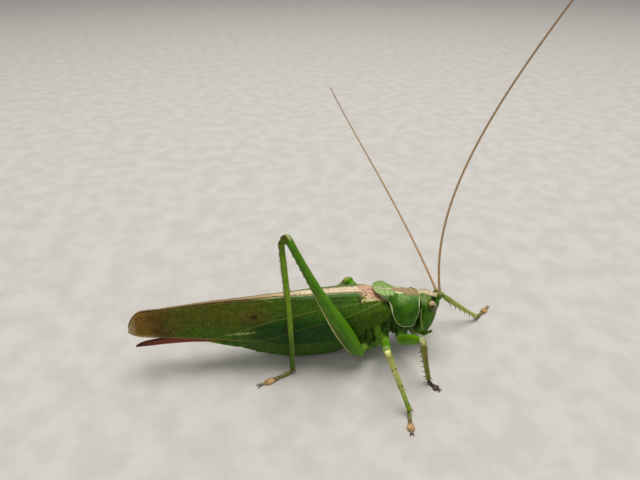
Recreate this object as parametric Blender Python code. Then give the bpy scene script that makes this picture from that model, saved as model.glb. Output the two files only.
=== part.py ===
"""A female great green bush-cricket, life size, walking on a flat floor: the construction.

Millimetres are used below and turned into metres when a mesh is made. X points to the head,
Y to the insect's left, Z up, and the soles lie on Z = 0. Every solid is a skin over rings, and
neighbours that touch are kept GAP apart. The root empty moves the whole so that the origin is
the middle of its bounding box on the floor.
"""
import math

import bmesh
import bpy
from mathutils import Vector

MM = 0.001
GAP = 0.3
SHELL = 0.5                      # least thickness of a wing, a plate edge or a feeler
CENTRE = (2.2, 2.7)              # middle of the whole in X and Y
SIDES = ((-1, "right"), (1, "left"))

# driving dimensions
WING_LENGTH = 44.5
WING_FRONT_X = 11.4
PRONOTUM_LENGTH = 8.6
PRONOTUM_REAR_X = 9.5
ABDOMEN_FRONT_X = 5.1
ABDOMEN_LENGTH = 19.7
THORAX_LENGTH = 11.2
OVIPOSITOR_LENGTH = 17.4
OVIPOSITOR_BASE_X = -14.9
HEAD_HEIGHT = 7.9
HEAD_CHIN_Z = 3.6
EYE_CENTRE = (20.0, 2.3, 10.55)  # left eye; the right one is its mirror image
EYE_RADII = (0.72, 0.62, 0.9)
FEELER_RADIUS = 0.27

GREEN = (0.10, 0.30, 0.03)
DARK_GREEN = (0.05, 0.19, 0.03)
LEAF_GREEN = (0.13, 0.33, 0.04)
OLIVE = (0.25, 0.30, 0.05)
BROWN = (0.16, 0.05, 0.02)
TAN = (0.45, 0.28, 0.13)
BEIGE = (0.35, 0.28, 0.16)
PALE = (0.45, 0.50, 0.22)


# ---- building blocks ----

def material(name, colour, roughness=0.45):
    """One plain Principled material."""
    made = bpy.data.materials.new(name)
    made.use_nodes = True
    shader = made.node_tree.nodes["Principled BSDF"]
    shader.inputs["Base Color"].default_value = (*colour, 1.0)
    shader.inputs["Roughness"].default_value = roughness
    shader.inputs["Metallic"].default_value = 0.0
    return made


def smooth_rows(rows, steps):
    """Rows of numbers carried on a Catmull-Rom curve, with some steps between each two."""
    out = []
    for i in range(len(rows) - 1):
        before = rows[max(i - 1, 0)]
        after = rows[min(i + 2, len(rows) - 1)]
        for k in range(steps):
            t = k / steps
            out.append(tuple(
                0.5 * (2 * b + (c - a) * t + (2 * a - 5 * b + 4 * c - d) * t * t
                       + (3 * b - 3 * c + d - a) * t ** 3)
                for a, b, c, d in zip(before, rows[i], rows[i + 1], after)))
    out.append(tuple(rows[-1]))
    return out


def oval(centre, side, up, half_side, half_up, half_down, sides, power=1.0):
    """A ring round a centre: an oval whose upper and lower halves may differ in height."""
    points = []
    for k in range(sides):
        angle = math.tau * (k + 0.5) / sides
        c = math.copysign(abs(math.cos(angle)) ** power, math.cos(angle))
        s = math.copysign(abs(math.sin(angle)) ** power, math.sin(angle))
        height = half_up if s > 0 else half_down
        points.append(Vector(centre) + Vector(side) * half_side * c + Vector(up) * height * s)
    return points


def skin(name, rings, look, root):
    """A closed solid through rings of equal count, capped at both ends."""
    mesh = bpy.data.meshes.new(name)
    shape = bmesh.new()
    loops = [[shape.verts.new(point * MM) for point in ring] for ring in rings]
    count = len(loops[0])
    for first, second in zip(loops, loops[1:]):
        for k in range(count):
            n = (k + 1) % count
            shape.faces.new((first[k], first[n], second[n], second[k]))
    shape.faces.new(loops[0][::-1])
    shape.faces.new(loops[-1])
    bmesh.ops.recalc_face_normals(shape, faces=shape.faces)
    shape.to_mesh(mesh)
    shape.free()
    mesh.shade_smooth()
    mesh.set_sharp_from_angle(angle=math.radians(50))
    mesh.materials.append(look)
    made = bpy.data.objects.new(name, mesh)
    bpy.context.collection.objects.link(made)
    made.parent = root
    return made


def cut(piece, cutter):
    """Take the cutter's shape out of the piece and leave the cutter out of the model."""
    hole = piece.modifiers.new("cut", "BOOLEAN")
    hole.operation = "DIFFERENCE"
    hole.object = cutter
    cutter.hide_render = True
    cutter.display_type = "WIRE"


def trunk(name, rows, look, root, sides=16, power=0.9):
    """A body length along X. Rows give x, belly height, back height and half width."""
    rings = []
    for x, belly, back, half in smooth_rows(rows, 2):
        middle = (belly + back) / 2
        rings.append(oval((x, 0, middle), (0, 1, 0), (0, 0, 1), half, back - middle,
                          middle - belly, sides, power))
    return skin(name, rings, look, root)


def along(points, steps):
    """Points of a smooth path through a few given ones."""
    return [Vector(row) for row in smooth_rows([tuple(p) for p in points], steps)]


def limb(name, path, profile, flat, look, root, sides=8):
    """A limb along a path. Profile rows give the share of the path, the half height in the
    limb's plane and the half thickness across it; flat is the direction across it."""
    path = [Vector(point) for point in path]
    lengths = [0.0]
    for first, second in zip(path, path[1:]):
        lengths.append(lengths[-1] + (second - first).length)
    rings = []
    for share, high, thick in profile:
        target = share * lengths[-1]
        k = next(i for i in range(1, len(lengths)) if lengths[i] >= target - 1e-9)
        part = (target - lengths[k - 1]) / (lengths[k] - lengths[k - 1])
        centre = path[k - 1].lerp(path[k], part)
        axis = (path[k] - path[k - 1]).normalized()
        side = (Vector(flat) - axis * axis.dot(Vector(flat))).normalized()
        up = side.cross(axis)
        rings.append(oval(centre, side, up, thick, high, high, sides))
    return skin(name, rings, look, root)


def ball(name, centre, radii, look, root, bands=8, sides=14):
    """An ellipsoid with its poles left and right."""
    rings = []
    for k in range(bands):
        angle = math.pi * (k + 0.5) / bands
        place = (centre[0], centre[1] - radii[1] * math.cos(angle), centre[2])
        across = math.sin(angle)
        rings.append(oval(place, (1, 0, 0), (0, 0, 1), radii[0] * across, radii[2] * across,
                          radii[2] * across, sides))
    return skin(name, rings, look, root)


# ---- trunk ----

def bow_section(x, points, inset, steps):
    """Points across a bent plate at x: a smooth line through (y, z) points, moved inward."""
    line = smooth_rows(points, steps)
    out = []
    for k, (y, z) in enumerate(line):
        before = line[max(k - 1, 0)]
        after = line[min(k + 1, len(line) - 1)]
        run = Vector((after[0] - before[0], after[1] - before[1])).normalized()
        out.append(Vector((x, y + run.y * inset, z - run.x * inset)))
    return out


# x as a share of the length from the rear edge; top; shoulder y, z; side y, z; lower edge y, z
PRONOTUM_ROWS = (
    (0.00, 13.95, 1.2, 13.95, 1.9, 13.75, 2.25, 13.45),
    (0.12, 13.95, 1.5, 13.90, 2.4, 13.60, 2.80, 13.15),
    (0.24, 13.90, 1.7, 13.75, 2.8, 13.20, 3.25, 12.30),
    (0.34, 13.80, 1.8, 13.55, 3.1, 12.10, 3.45, 9.90),
    (0.46, 13.60, 1.9, 13.30, 3.3, 11.40, 3.55, 8.10),
    (0.60, 13.30, 1.9, 12.95, 3.35, 11.00, 3.55, 7.30),
    (0.76, 12.90, 1.9, 12.55, 3.2, 10.70, 3.50, 7.60),
    (0.90, 12.50, 1.9, 12.15, 3.1, 10.70, 3.35, 8.70),
    (0.97, 12.30, 1.8, 12.00, 2.9, 11.00, 3.10, 10.00),
    (1.00, 12.25, 1.7, 11.95, 2.7, 11.30, 2.90, 10.70),
)


def make_pronotum(look, root):
    """The saddle-shaped neck shield with its two side lobes, as one bent plate."""
    rings = []
    for share, top, ys, zs, ym, zm, yl, zl in smooth_rows(PRONOTUM_ROWS, 2):
        x = PRONOTUM_REAR_X + share * PRONOTUM_LENGTH
        points = [(-yl, zl), (-ym, zm), (-ys, zs), (0, top), (ys, zs), (ym, zm), (yl, zl)]
        outer = bow_section(x, points, 0.0, 2)
        inner = bow_section(x, points, SHELL, 2)
        rings.append(outer + inner[::-1])
    return skin("pronotum", rings, look, root)


# share of the length from the front; belly, back, half width
THORAX_ROWS = (
    (0.00, 6.8, 11.2, 1.6),
    (0.14, 4.9, 11.9, 2.5),
    (0.32, 3.9, 12.1, 2.75),
    (0.50, 2.9, 12.1, 2.85),
    (0.70, 2.0, 12.5, 3.0),
    (0.86, 1.5, 12.7, 3.05),
    (1.00, 1.3, 12.7, 3.1),
)
ABDOMEN_ROWS = (
    (0.00, 1.2, 12.7, 3.15),
    (0.16, 0.35, 12.7, 3.25),
    (0.36, 0.25, 12.6, 3.25),
    (0.56, 0.6, 12.2, 3.0),
    (0.72, 1.3, 11.5, 2.6),
    (0.87, 2.3, 10.4, 2.1),
    (0.96, 3.1, 9.4, 1.6),
    (1.00, 3.6, 8.6, 1.2),
)
# share of the length from the base; lower edge, upper edge, half thickness
OVIPOSITOR_ROWS = (
    (0.00, 5.7, 7.9, 0.65),
    (0.12, 5.6, 7.7, 0.55),
    (0.38, 5.55, 7.4, 0.45),
    (0.58, 5.6, 7.2, 0.40),
    (0.74, 5.65, 6.9, 0.36),
    (0.87, 5.7, 6.5, 0.30),
    (0.96, 5.7, 6.1, 0.27),
    (1.00, 5.7, 5.9, 0.22),
)
# x; lower edge, upper edge, half width of the plate under the blade's root
PLATE_ROWS = ((-14.9, 3.9, 5.3, 1.2), (-16.5, 4.2, 5.25, 0.95), (-18.2, 4.6, 5.25, 0.6),
              (-19.8, 4.9, 5.3, 0.3))
NECK_ROWS = ((16.9, 7.4, 11.6, 1.6), (17.7, 7.4, 11.6, 1.7))
CERCUS_PATH = ((-14.5, 1.3, 9.0), (-16.2, 1.1, 8.5))       # on the left side
CERCUS_PROFILE = ((0, 0.4, 0.35), (0.6, 0.35, 0.3), (1, 0.25, 0.25))


def make_trunk(looks, root):
    """Thorax, abdomen, egg-laying blade and the two short tail feelers."""
    front = ABDOMEN_FRONT_X + GAP + THORAX_LENGTH
    rows = [(front - share * THORAX_LENGTH, *rest) for share, *rest in THORAX_ROWS]
    trunk("thorax", rows, looks["green"], root)
    rows = [(ABDOMEN_FRONT_X - share * ABDOMEN_LENGTH, *rest) for share, *rest in ABDOMEN_ROWS]
    trunk("abdomen", rows, looks["green"], root, sides=18)
    trunk("subgenital_plate", PLATE_ROWS, looks["green"], root, sides=8)
    rows = [(OVIPOSITOR_BASE_X - share * OVIPOSITOR_LENGTH, *rest)
            for share, *rest in OVIPOSITOR_ROWS]
    trunk("ovipositor", rows, looks["brown"], root, sides=8)
    trunk("neck", NECK_ROWS, looks["pale"], root, sides=12)
    for side, word in SIDES:
        path = [(x, side * y, z) for x, y, z in CERCUS_PATH]
        limb("cercus_" + word, path, CERCUS_PROFILE, (0, 1, 0), looks["green"], root)


# ---- wings ----

# share of the length from the front; top z; shoulder y, z; flank y, z; lower edge y, z
WING_ROWS = (
    (0.000, 12.60, 1.9, 12.40, 3.25, 11.6, 3.70, 11.0),
    (0.032, 12.90, 2.0, 12.60, 3.65, 11.4, 4.00, 9.4),
    (0.064, 13.45, 2.1, 13.15, 3.95, 11.4, 4.10, 8.9),
    (0.106, 14.00, 2.1, 13.60, 4.05, 11.2, 4.15, 8.3),
    (0.133, 14.10, 2.0, 13.70, 4.05, 10.9, 4.10, 6.5),
    (0.250, 14.20, 1.7, 13.80, 4.05, 10.5, 4.05, 6.3),
    (0.385, 14.15, 1.3, 13.75, 3.70, 10.2, 3.70, 6.6),
    (0.465, 14.10, 1.0, 13.75, 3.25, 10.2, 3.35, 6.8),
    (0.580, 13.95, 0.8, 13.60, 2.45, 10.3, 2.85, 7.2),
    (0.730, 13.70, 0.7, 13.35, 1.60, 10.5, 2.05, 7.9),
    (0.880, 13.50, 0.65, 13.10, 1.05, 10.9, 1.45, 8.6),
    (0.945, 13.30, 0.65, 12.90, 0.95, 11.0, 1.25, 9.2),
    (0.982, 12.70, 0.65, 12.40, 0.85, 11.1, 1.05, 9.8),
    (1.000, 11.90, 0.65, 11.70, 0.75, 11.2, 0.90, 10.4),
)
# x; lower edge, upper edge, half width of the folded pair under the fore wings
HINDWING_ROWS = (
    (4.0, 13.15, 13.60, 1.1),
    (-6.0, 12.75, 13.5, 0.9),
    (-10.0, 12.1, 13.4, 0.75),
    (-13.0, 11.2, 13.3, 0.65),
    (-15.5, 9.6, 13.1, 0.6),
    (-18.0, 9.1, 13.0, 0.5),
    (-22.0, 9.1, 12.8, 0.34),
    (-26.5, 9.6, 12.4, 0.25),
)


def make_wings(looks, root):
    """Two roof-like fore wings and the folded hind wings between them."""
    for side, word in SIDES:
        rings = []
        for share, top, ys, zs, ym, zm, yl, zl in smooth_rows(WING_ROWS, 2):
            x = WING_FRONT_X - share * WING_LENGTH
            outer = smooth_rows([(GAP / 2, top), (ys, zs), (ym, zm), (yl, zl)], 3)
            inner = smooth_rows([(GAP / 2, top - SHELL), (ys - SHELL * 0.9, zs - SHELL * 0.8),
                                 (ym - SHELL, zm - 0.1), (yl - SHELL, zl)], 3)
            rings.append([Vector((x, side * max(y, GAP / 2), z)) for y, z in outer + inner[::-1]])
        skin("forewing_" + word, rings, looks["wing"], root)
    trunk("hindwings", HINDWING_ROWS, looks["pale"], root, sides=12)


# ---- head ----

# share of the height from the chin; x of the back, x of the face, half width
HEAD_ROWS = (
    (0.00, 19.2, 20.5, 1.3),
    (0.10, 18.7, 20.75, 1.8),
    (0.26, 18.3, 21.1, 2.2),
    (0.48, 18.1, 21.5, 2.5),
    (0.68, 18.1, 21.9, 2.55),
    (0.82, 18.15, 22.15, 2.4),
    (0.92, 18.3, 21.95, 2.0),
    (1.00, 18.6, 20.6, 1.0),
)
LABRUM_ROWS = ((20.05, 2.1, 3.3, 0.5), (20.3, 2.0, 3.35, 0.8), (20.55, 2.15, 3.3, 0.6))
LABIUM_ROWS = ((18.5, 2.1, 3.3, 0.45), (18.9, 1.9, 3.3, 0.5))
# name; path on the left side; half widths at its root, middle and tip
MOUTH_PARTS = (
    ("mandible", ((19.6, 0.95, 3.2), (19.75, 0.65, 2.3)), (0.5, 0.5, 0.3)),
    ("maxillary_palp", ((19.1, 1.45, 3.2), (19.6, 1.7, 2.6), (20.6, 1.55, 3.3)), (0.27, 0.27, 0.3)),
    ("labial_palp", ((19.0, 1.0, 2.2), (19.3, 1.05, 1.4)), (0.27, 0.27, 0.27)),
)
FEELER_PATHS = {
    "right": ((21.6, -0.8, 12.6), (16.8, -3.5, 31.2), (18.8, -12.0, 48.6), (21.0, -22.5, 63.5)),
    "left": ((21.4, 0.8, 12.0), (16.2, 9.0, 24.7), (9.5, 18.0, 34.5), (5.9, 28.0, 42.2)),
}
SCAPE_BASE = (21.75, 0.8, 11.3)
SCAPE_PROFILE = ((0, 0.38, 0.38), (0.5, 0.42, 0.42), (1, 0.36, 0.36))
FEELER_LENGTHS = (("base", 0.0, 0.316), ("middle", 0.32, 0.656), ("tip", 0.66, 1.0))
FEELER_RINGS = 10


def bezier(points, t):
    """A place on a cubic Bezier curve."""
    a, b, c, d = (Vector(point) for point in points)
    return a * (1 - t) ** 3 + b * 3 * t * (1 - t) ** 2 + c * 3 * t * t * (1 - t) + d * t ** 3


def make_head(looks, root):
    """Head capsule with its eye sockets, eyes, mouth parts and feelers."""
    rings = []
    for share, back, face, half in smooth_rows(HEAD_ROWS, 2):
        middle = (back + face) / 2
        rings.append(oval((middle, 0, HEAD_CHIN_Z + share * HEAD_HEIGHT), (0, 1, 0), (1, 0, 0), half,
                          face - middle, middle - back, 18, 0.92))
    head = skin("head", rings, looks["green"], root)
    trunk("labrum", LABRUM_ROWS, looks["green"], root, sides=10)
    trunk("labium", LABIUM_ROWS, looks["green"], root, sides=8)
    for side, word in SIDES:
        centre = (EYE_CENTRE[0], side * EYE_CENTRE[1], EYE_CENTRE[2])
        ball("eye_" + word, centre, EYE_RADII, looks["eye"], root)
        socket = ball("socket_" + word, centre, [r + GAP for r in EYE_RADII], looks["eye"], root)
        cut(head, socket)
        for name, path, (root_half, mid_half, tip_half) in MOUTH_PARTS:
            points = along([(x, side * y, z) for x, y, z in path], 3)
            profile = [(0, root_half, root_half), (0.3, mid_half, mid_half), (0.6, mid_half, mid_half),
                       (0.85, tip_half, tip_half), (1, tip_half * 0.7, tip_half * 0.7)]
            limb(name + "_" + word, points, profile, (0, 1, 0), looks["green"], root, sides=6)
        make_feeler(word, FEELER_PATHS[word], head, looks, root)


def make_feeler(word, curve, head, looks, root):
    """A scape and three lengths of a long thread-like feeler."""
    start = bezier(curve, 0)
    x, y, z = SCAPE_BASE
    base = [Vector((x, math.copysign(y, start.y), z)), start - Vector((0, 0, GAP))]
    limb("scape_" + word, base, SCAPE_PROFILE, (0, 1, 0), looks["green"], root)
    wider = [(share, high + GAP, thick + GAP) for share, high, thick in SCAPE_PROFILE]
    base[0].z -= GAP
    cut(head, limb("scape_room_" + word, base, wider, (0, 1, 0), looks["green"], root))
    shares = [k / (FEELER_RINGS - 1) for k in range(FEELER_RINGS)]
    profile = [(share, FEELER_RADIUS, FEELER_RADIUS) for share in shares]
    for part, low, high in FEELER_LENGTHS:
        path = [bezier(curve, low + (high - low) * share) for share in shares]
        limb("antenna_{}_{}".format(word, part), path, profile, (1, 0, 0), looks["tan"], root, sides=6)


# ---- legs ----

# hip, end of the coxa, knee, ankle and toe of each leg
LEGS = {
    "fore_right": ((14.1, -3.1, 6.0), (14.0, -4.3, 4.8), (15.2, -11.1, 10.6), (17.6, -10.3, 1.2),
                   (19.1, -12.6, 0.2)),
    "fore_left": ((14.6, 3.1, 6.0), (15.1, 4.0, 4.8), (24.1, 3.5, 8.0), (32.3, 4.2, 1.1), (37.4, 7.5, 0.2)),
    "mid_right": ((10.9, -3.4, 5.2), (10.9, -4.7, 4.4), (9.0, -12.2, 10.7), (12.35, -16.3, 1.1),
                  (11.6, -20.5, 0.2)),
    "mid_left": ((11.1, 3.4, 5.0), (11.5, 4.6, 4.0), (6.5, 10.2, 8.6), (5.2, 16.6, 1.1), (8.6, 18.4, 0.2)),
    "hind_right": ((7.4, -3.4, 3.7), (6.4, -5.0, 3.0), (-6.75, -6.4, 28.9), (-5.5, -4.7, 1.1),
                   (-12.1, -7.2, 0.2)),
    "hind_left": ((7.4, 3.4, 3.7), (6.4, 5.0, 3.0), (-20.4, 9.5, 6.3), (5.0, 11.5, 1.1), (11.3, 13.5, 0.2)),
}
# share of the length, half height, half thickness
COXA_PROFILE = ((0, 0.55, 0.55), (0.5, 0.7, 0.6), (1, 0.5, 0.5))
FEMUR_PROFILE = {
    "fore": ((0, 0.55, 0.45), (0.12, 0.8, 0.6), (0.35, 0.86, 0.65), (0.7, 0.75, 0.55), (0.9, 0.62, 0.5),
             (1, 0.5, 0.45)),
    "mid": ((0, 0.5, 0.45), (0.12, 0.72, 0.55), (0.4, 0.75, 0.6), (0.75, 0.62, 0.5), (0.92, 0.6, 0.48),
            (1, 0.5, 0.42)),
    "hind": ((0, 0.75, 0.5), (0.05, 1.15, 0.8), (0.12, 1.5, 0.9), (0.22, 1.65, 0.95), (0.33, 1.5, 0.92),
             (0.45, 1.2, 0.82), (0.58, 0.92, 0.68), (0.72, 0.72, 0.55), (0.86, 0.58, 0.45),
             (0.95, 0.6, 0.45), (1, 0.5, 0.4)),
}
TIBIA_PROFILE = {
    "fore": ((0, 0.45, 0.4), (0.1, 0.42, 0.4), (0.2, 0.55, 0.5), (0.35, 0.42, 0.4), (0.7, 0.38, 0.36),
             (1, 0.4, 0.38)),
    "mid": ((0, 0.45, 0.42), (0.12, 0.42, 0.4), (0.4, 0.4, 0.38), (0.8, 0.34, 0.32), (1, 0.36, 0.34)),
    "hind": ((0, 0.5, 0.42), (0.06, 0.52, 0.42), (0.3, 0.48, 0.38), (0.7, 0.45, 0.36), (0.95, 0.44, 0.36),
             (1, 0.48, 0.4)),
}
# share of the foot, half width, lowest and highest z
TARSUS_PROFILE = (
    (0.00, 0.30, 0.30, 0.85),
    (0.10, 0.36, 0.00, 0.85),
    (0.27, 0.34, 0.00, 0.70),
    (0.32, 0.26, 0.00, 0.55),
    (0.42, 0.36, 0.00, 0.65),
    (0.50, 0.30, 0.00, 0.52),
    (0.58, 0.52, 0.00, 0.60),
    (0.70, 0.55, 0.00, 0.55),
    (0.76, 0.28, 0.00, 0.52),
    (0.92, 0.26, 0.00, 0.50),
    (1.00, 0.25, 0.00, 0.50),
)
FEMUR_BOW = {"fore": 0.25, "mid": 0.25, "hind": -0.25}      # positive away from the shin
KNEE_OFFSET = {"fore": 0.35, "mid": 0.35, "hind": 0.8}     # shin head to the thigh's middle line
COXA_END_HALF = 0.35
FEMUR_STEPS = 10


def make_leg(name, points, looks, root):
    """Coxa, femur, tibia and foot of one leg, each a solid of its own."""
    kind = name.split("_")[0]
    hip, coxa_end, knee, ankle, toe = (Vector(point) for point in points)
    across = (knee - coxa_end).cross(ankle - knee).normalized()
    limb("coxa_" + name, (hip, coxa_end), COXA_PROFILE, (1, 0, 0), looks["green"], root)
    run = (knee - coxa_end).normalized()
    down = (ankle - knee).normalized()
    away = (down - run * down.dot(run)).normalized()
    start = coxa_end + run * (GAP + COXA_END_HALF)
    end = knee - away * KNEE_OFFSET[kind]
    bow = -away * FEMUR_BOW[kind]
    shares = [k / FEMUR_STEPS for k in range(FEMUR_STEPS + 1)]
    path = [start.lerp(end, share) + bow * math.sin(math.pi * share) for share in shares]
    femur = limb("femur_" + name, path, FEMUR_PROFILE[kind], across, looks["leaf"], root)
    profile = TIBIA_PROFILE[kind]
    limb("tibia_" + name, (knee, ankle), profile, across, looks["olive"], root)
    wider = [(share, high + GAP, thick + GAP * 2) for share, high, thick in profile]
    room = limb("knee_room_" + name, (knee - down * GAP, ankle), wider, across, looks["olive"], root)
    cut(femur, room)
    make_foot(name, ankle, toe, looks, root)


def make_foot(name, ankle, toe, looks, root):
    """Four-jointed foot on a flat sole that lies on the floor."""
    run = Vector((toe.x - ankle.x, toe.y - ankle.y, 0))
    heel = Vector((ankle.x, ankle.y, 0))
    side = Vector((-run.y, run.x, 0)).normalized()
    rings = []
    for share, half, low, high in TARSUS_PROFILE:
        centre = heel + run * share
        widths = ((-0.75, low), (0.75, low), (1.0, (low + high) / 2), (0.6, high), (-0.6, high),
                  (-1.0, (low + high) / 2))
        rings.append([centre + side * half * w + Vector((0, 0, z)) for w, z in widths])
    skin("tarsus_" + name, rings, looks["foot"], root)


def main():
    for old in list(bpy.data.objects):
        bpy.data.objects.remove(old, do_unlink=True)
    root = bpy.data.objects.new("bush_cricket", None)
    bpy.context.collection.objects.link(root)
    root.location = (-CENTRE[0] * MM, -CENTRE[1] * MM, 0)
    looks = {
        "green": material("body_green", GREEN),
        "shield": material("shield_green", GREEN),
        "wing": material("wing_green", DARK_GREEN, 0.5),
        "leaf": material("leg_green", LEAF_GREEN),
        "olive": material("shin_olive", OLIVE),
        "brown": material("blade_brown", BROWN, 0.3),
        "tan": material("feeler_tan", TAN),
        "foot": material("foot_tan", TAN, 0.5),
        "eye": material("eye_beige", BEIGE, 0.25),
        "pale": material("pale_green", PALE, 0.5),
    }
    make_trunk(looks, root)
    make_pronotum(looks["shield"], root)
    make_wings(looks, root)
    make_head(looks, root)
    for name, points in LEGS.items():
        make_leg(name, points, looks, root)


main()
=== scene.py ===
"""A female great green bush-cricket on a pale floor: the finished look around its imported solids.

Lengths below are millimetres in the insect's own frame: X to the head, Y to its left, Z up, the
soles on Z = 0. OFFSET, read from the solids, carries that frame into the model's.
"""
import math
from functools import reduce

import bpy
import numpy as np
from mathutils import Matrix, Vector

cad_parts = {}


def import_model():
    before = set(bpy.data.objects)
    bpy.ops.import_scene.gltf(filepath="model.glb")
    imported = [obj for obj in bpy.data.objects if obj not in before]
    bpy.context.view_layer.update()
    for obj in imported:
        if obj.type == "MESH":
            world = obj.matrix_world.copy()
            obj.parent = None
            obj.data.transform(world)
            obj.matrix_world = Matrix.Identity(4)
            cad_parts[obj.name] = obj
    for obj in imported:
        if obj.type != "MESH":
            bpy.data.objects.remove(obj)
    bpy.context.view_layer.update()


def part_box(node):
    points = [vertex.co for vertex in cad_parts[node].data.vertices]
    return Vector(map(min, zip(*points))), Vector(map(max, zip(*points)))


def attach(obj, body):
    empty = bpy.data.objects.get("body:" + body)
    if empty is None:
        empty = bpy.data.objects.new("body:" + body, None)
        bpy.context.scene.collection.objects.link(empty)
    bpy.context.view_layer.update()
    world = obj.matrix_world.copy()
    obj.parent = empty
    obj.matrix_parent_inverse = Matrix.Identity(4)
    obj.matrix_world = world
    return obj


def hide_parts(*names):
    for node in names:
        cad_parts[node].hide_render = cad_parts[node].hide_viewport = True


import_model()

MM = 0.001
SIDES = ((-1, "right"), (1, "left"))
rng = np.random.default_rng(7)

# ---- driving dimensions, as in the solids ----

WING_LENGTH = 44.5
WING_FRONT_X = 11.4
PRONOTUM_LENGTH = 8.6
PRONOTUM_REAR_X = 9.5
SOLID_EYE_CENTRE = (20.0, 2.3, 10.55)
EYE_CENTRE = (20.0, 2.04, 10.28)
EYE_RADII = (0.79, 0.62, 1.0)     # along the head, outward, and up the cheek
EYE_TILT = math.radians(28)       # the top of each eye leans to the middle

eye_low, eye_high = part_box("eye_left")
OFFSET = np.array((eye_low + eye_high) / 2) - np.array(SOLID_EYE_CENTRE) * MM

# share of the length from the front; top z; shoulder y, z; flank y, z; lower edge y, z
WING_ROWS = (
    (0.0, 12.6, 1.9, 12.4, 3.25, 11.5, 3.5, 10.4),
    (0.016, 12.7, 1.95, 12.45, 3.42, 11.3, 3.68, 9.3),
    (0.04, 13.0, 2.0, 12.75, 3.65, 11.3, 3.82, 8.7),
    (0.064, 13.4, 2.1, 13.1, 3.8, 11.2, 3.88, 8.15),
    (0.096, 13.85, 2.1, 13.45, 3.92, 11.0, 3.93, 7.6),
    (0.108, 13.96, 2.1, 13.57, 3.96, 10.9, 3.95, 6.5),
    (0.133, 14.05, 2.0, 13.65, 4.0, 10.9, 3.97, 6.1),
    (0.25, 14.15, 1.7, 13.75, 4.05, 10.5, 4.0, 5.8),
    (0.385, 14.15, 1.3, 13.75, 3.7, 10.2, 3.7, 5.95),
    (0.465, 14.1, 1.0, 13.75, 3.25, 10.2, 3.35, 6.35),
    (0.58, 13.95, 0.8, 13.6, 2.45, 10.3, 2.85, 7.0),
    (0.73, 13.68, 0.7, 13.33, 1.6, 10.5, 2.05, 7.6),
    (0.82, 13.4, 0.65, 13.0, 1.25, 10.7, 1.7, 8.0),
    (0.88, 13.28, 0.65, 12.85, 1.05, 10.8, 1.45, 8.2),
    (0.935, 13.2, 0.65, 12.75, 0.95, 10.8, 1.25, 8.38),
    (0.954, 12.95, 0.65, 12.5, 0.88, 10.7, 1.15, 8.5),
    (0.976, 12.1, 0.6, 11.75, 0.8, 10.3, 1.0, 8.78),
    (0.991, 11.05, 0.55, 10.8, 0.72, 9.9, 0.88, 9.08),
    (1.0, 9.95, 0.5, 9.85, 0.62, 9.65, 0.75, 9.4),
)
# x; lower edge, upper edge, half width of the folded hind wings
HINDWING_ROWS = (
    (4.0, 13.15, 13.6, 1.1),
    (-6.0, 12.75, 13.5, 0.9),
    (-10.0, 12.1, 13.4, 0.75),
    (-13.0, 11.2, 13.3, 0.65),
    (-15.5, 9.6, 13.1, 0.6),
    (-18.0, 9.1, 13.0, 0.5),
    (-22.0, 9.1, 12.8, 0.34),
    (-26.5, 9.6, 12.4, 0.25),
)
# share of the length from the rear; top z; shoulder y, z; side y, z; lower edge y, z
PRONOTUM_ROWS = (
    (0.0, 13.95, 1.0, 13.98, 1.9, 13.75, 2.25, 13.45),
    (0.12, 13.78, 1.4, 13.86, 2.4, 13.55, 2.8, 13.05),
    (0.24, 13.55, 1.7, 13.68, 2.75, 13.1, 3.25, 12.2),
    (0.34, 13.4, 1.7, 13.35, 3.0, 12.1, 3.42, 9.9),
    (0.46, 13.18, 1.25, 13.02, 3.15, 11.4, 3.5, 8.2),
    (0.6, 12.86, 1.0, 12.74, 3.2, 11.0, 3.5, 7.3),
    (0.76, 12.6, 0.95, 12.48, 3.1, 10.7, 3.45, 7.3),
    (0.9, 12.42, 0.95, 12.28, 3.0, 10.7, 3.3, 8.2),
    (0.97, 12.34, 0.9, 12.2, 2.85, 11.0, 3.1, 9.4),
    (1.0, 12.3, 0.9, 12.15, 2.7, 11.3, 2.95, 10.3),
)
# x; belly, back, half width of thorax and abdomen
TRUNK_ROWS = (
    (-15.4, 4.2, 7.6, 0.6),
    (-14.8, 3.6, 8.6, 1.2),
    (-13.9, 3.0, 9.4, 1.6),
    (-12.0, 2.1, 10.4, 2.1),
    (-9.1, 1.1, 11.5, 2.6),
    (-5.9, 0.42, 12.2, 3.0),
    (-2.0, 0.1, 12.6, 3.25),
    (1.9, 0.18, 12.7, 3.25),
    (5.3, 1.05, 12.7, 3.1),
    (7.0, 1.5, 12.7, 3.0),
    (8.8, 2.0, 12.5, 2.95),
    (11.0, 2.9, 12.1, 2.8),
    (13.0, 3.9, 12.0, 2.7),
    (15.0, 4.9, 11.9, 2.65),
    (16.4, 5.9, 11.9, 2.72),
    (17.2, 6.2, 11.75, 2.66),
    (18.3, 6.9, 11.3, 2.2),
)
# x; lower edge, upper edge, half thickness of the egg-laying blade
BLADE_ROWS = (
    (-32.55, 5.42, 5.62, 0.08),
    (-32.1, 5.4, 5.98, 0.18),
    (-31.2, 5.42, 6.42, 0.24),
    (-30.0, 5.45, 6.68, 0.28),
    (-27.8, 5.52, 6.98, 0.32),
    (-25.0, 5.52, 7.25, 0.36),
    (-22.5, 5.4, 7.4, 0.4),
    (-20.0, 5.15, 7.5, 0.45),
    (-17.0, 5.1, 7.7, 0.5),
    (-14.2, 5.7, 7.9, 0.6),
)
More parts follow.
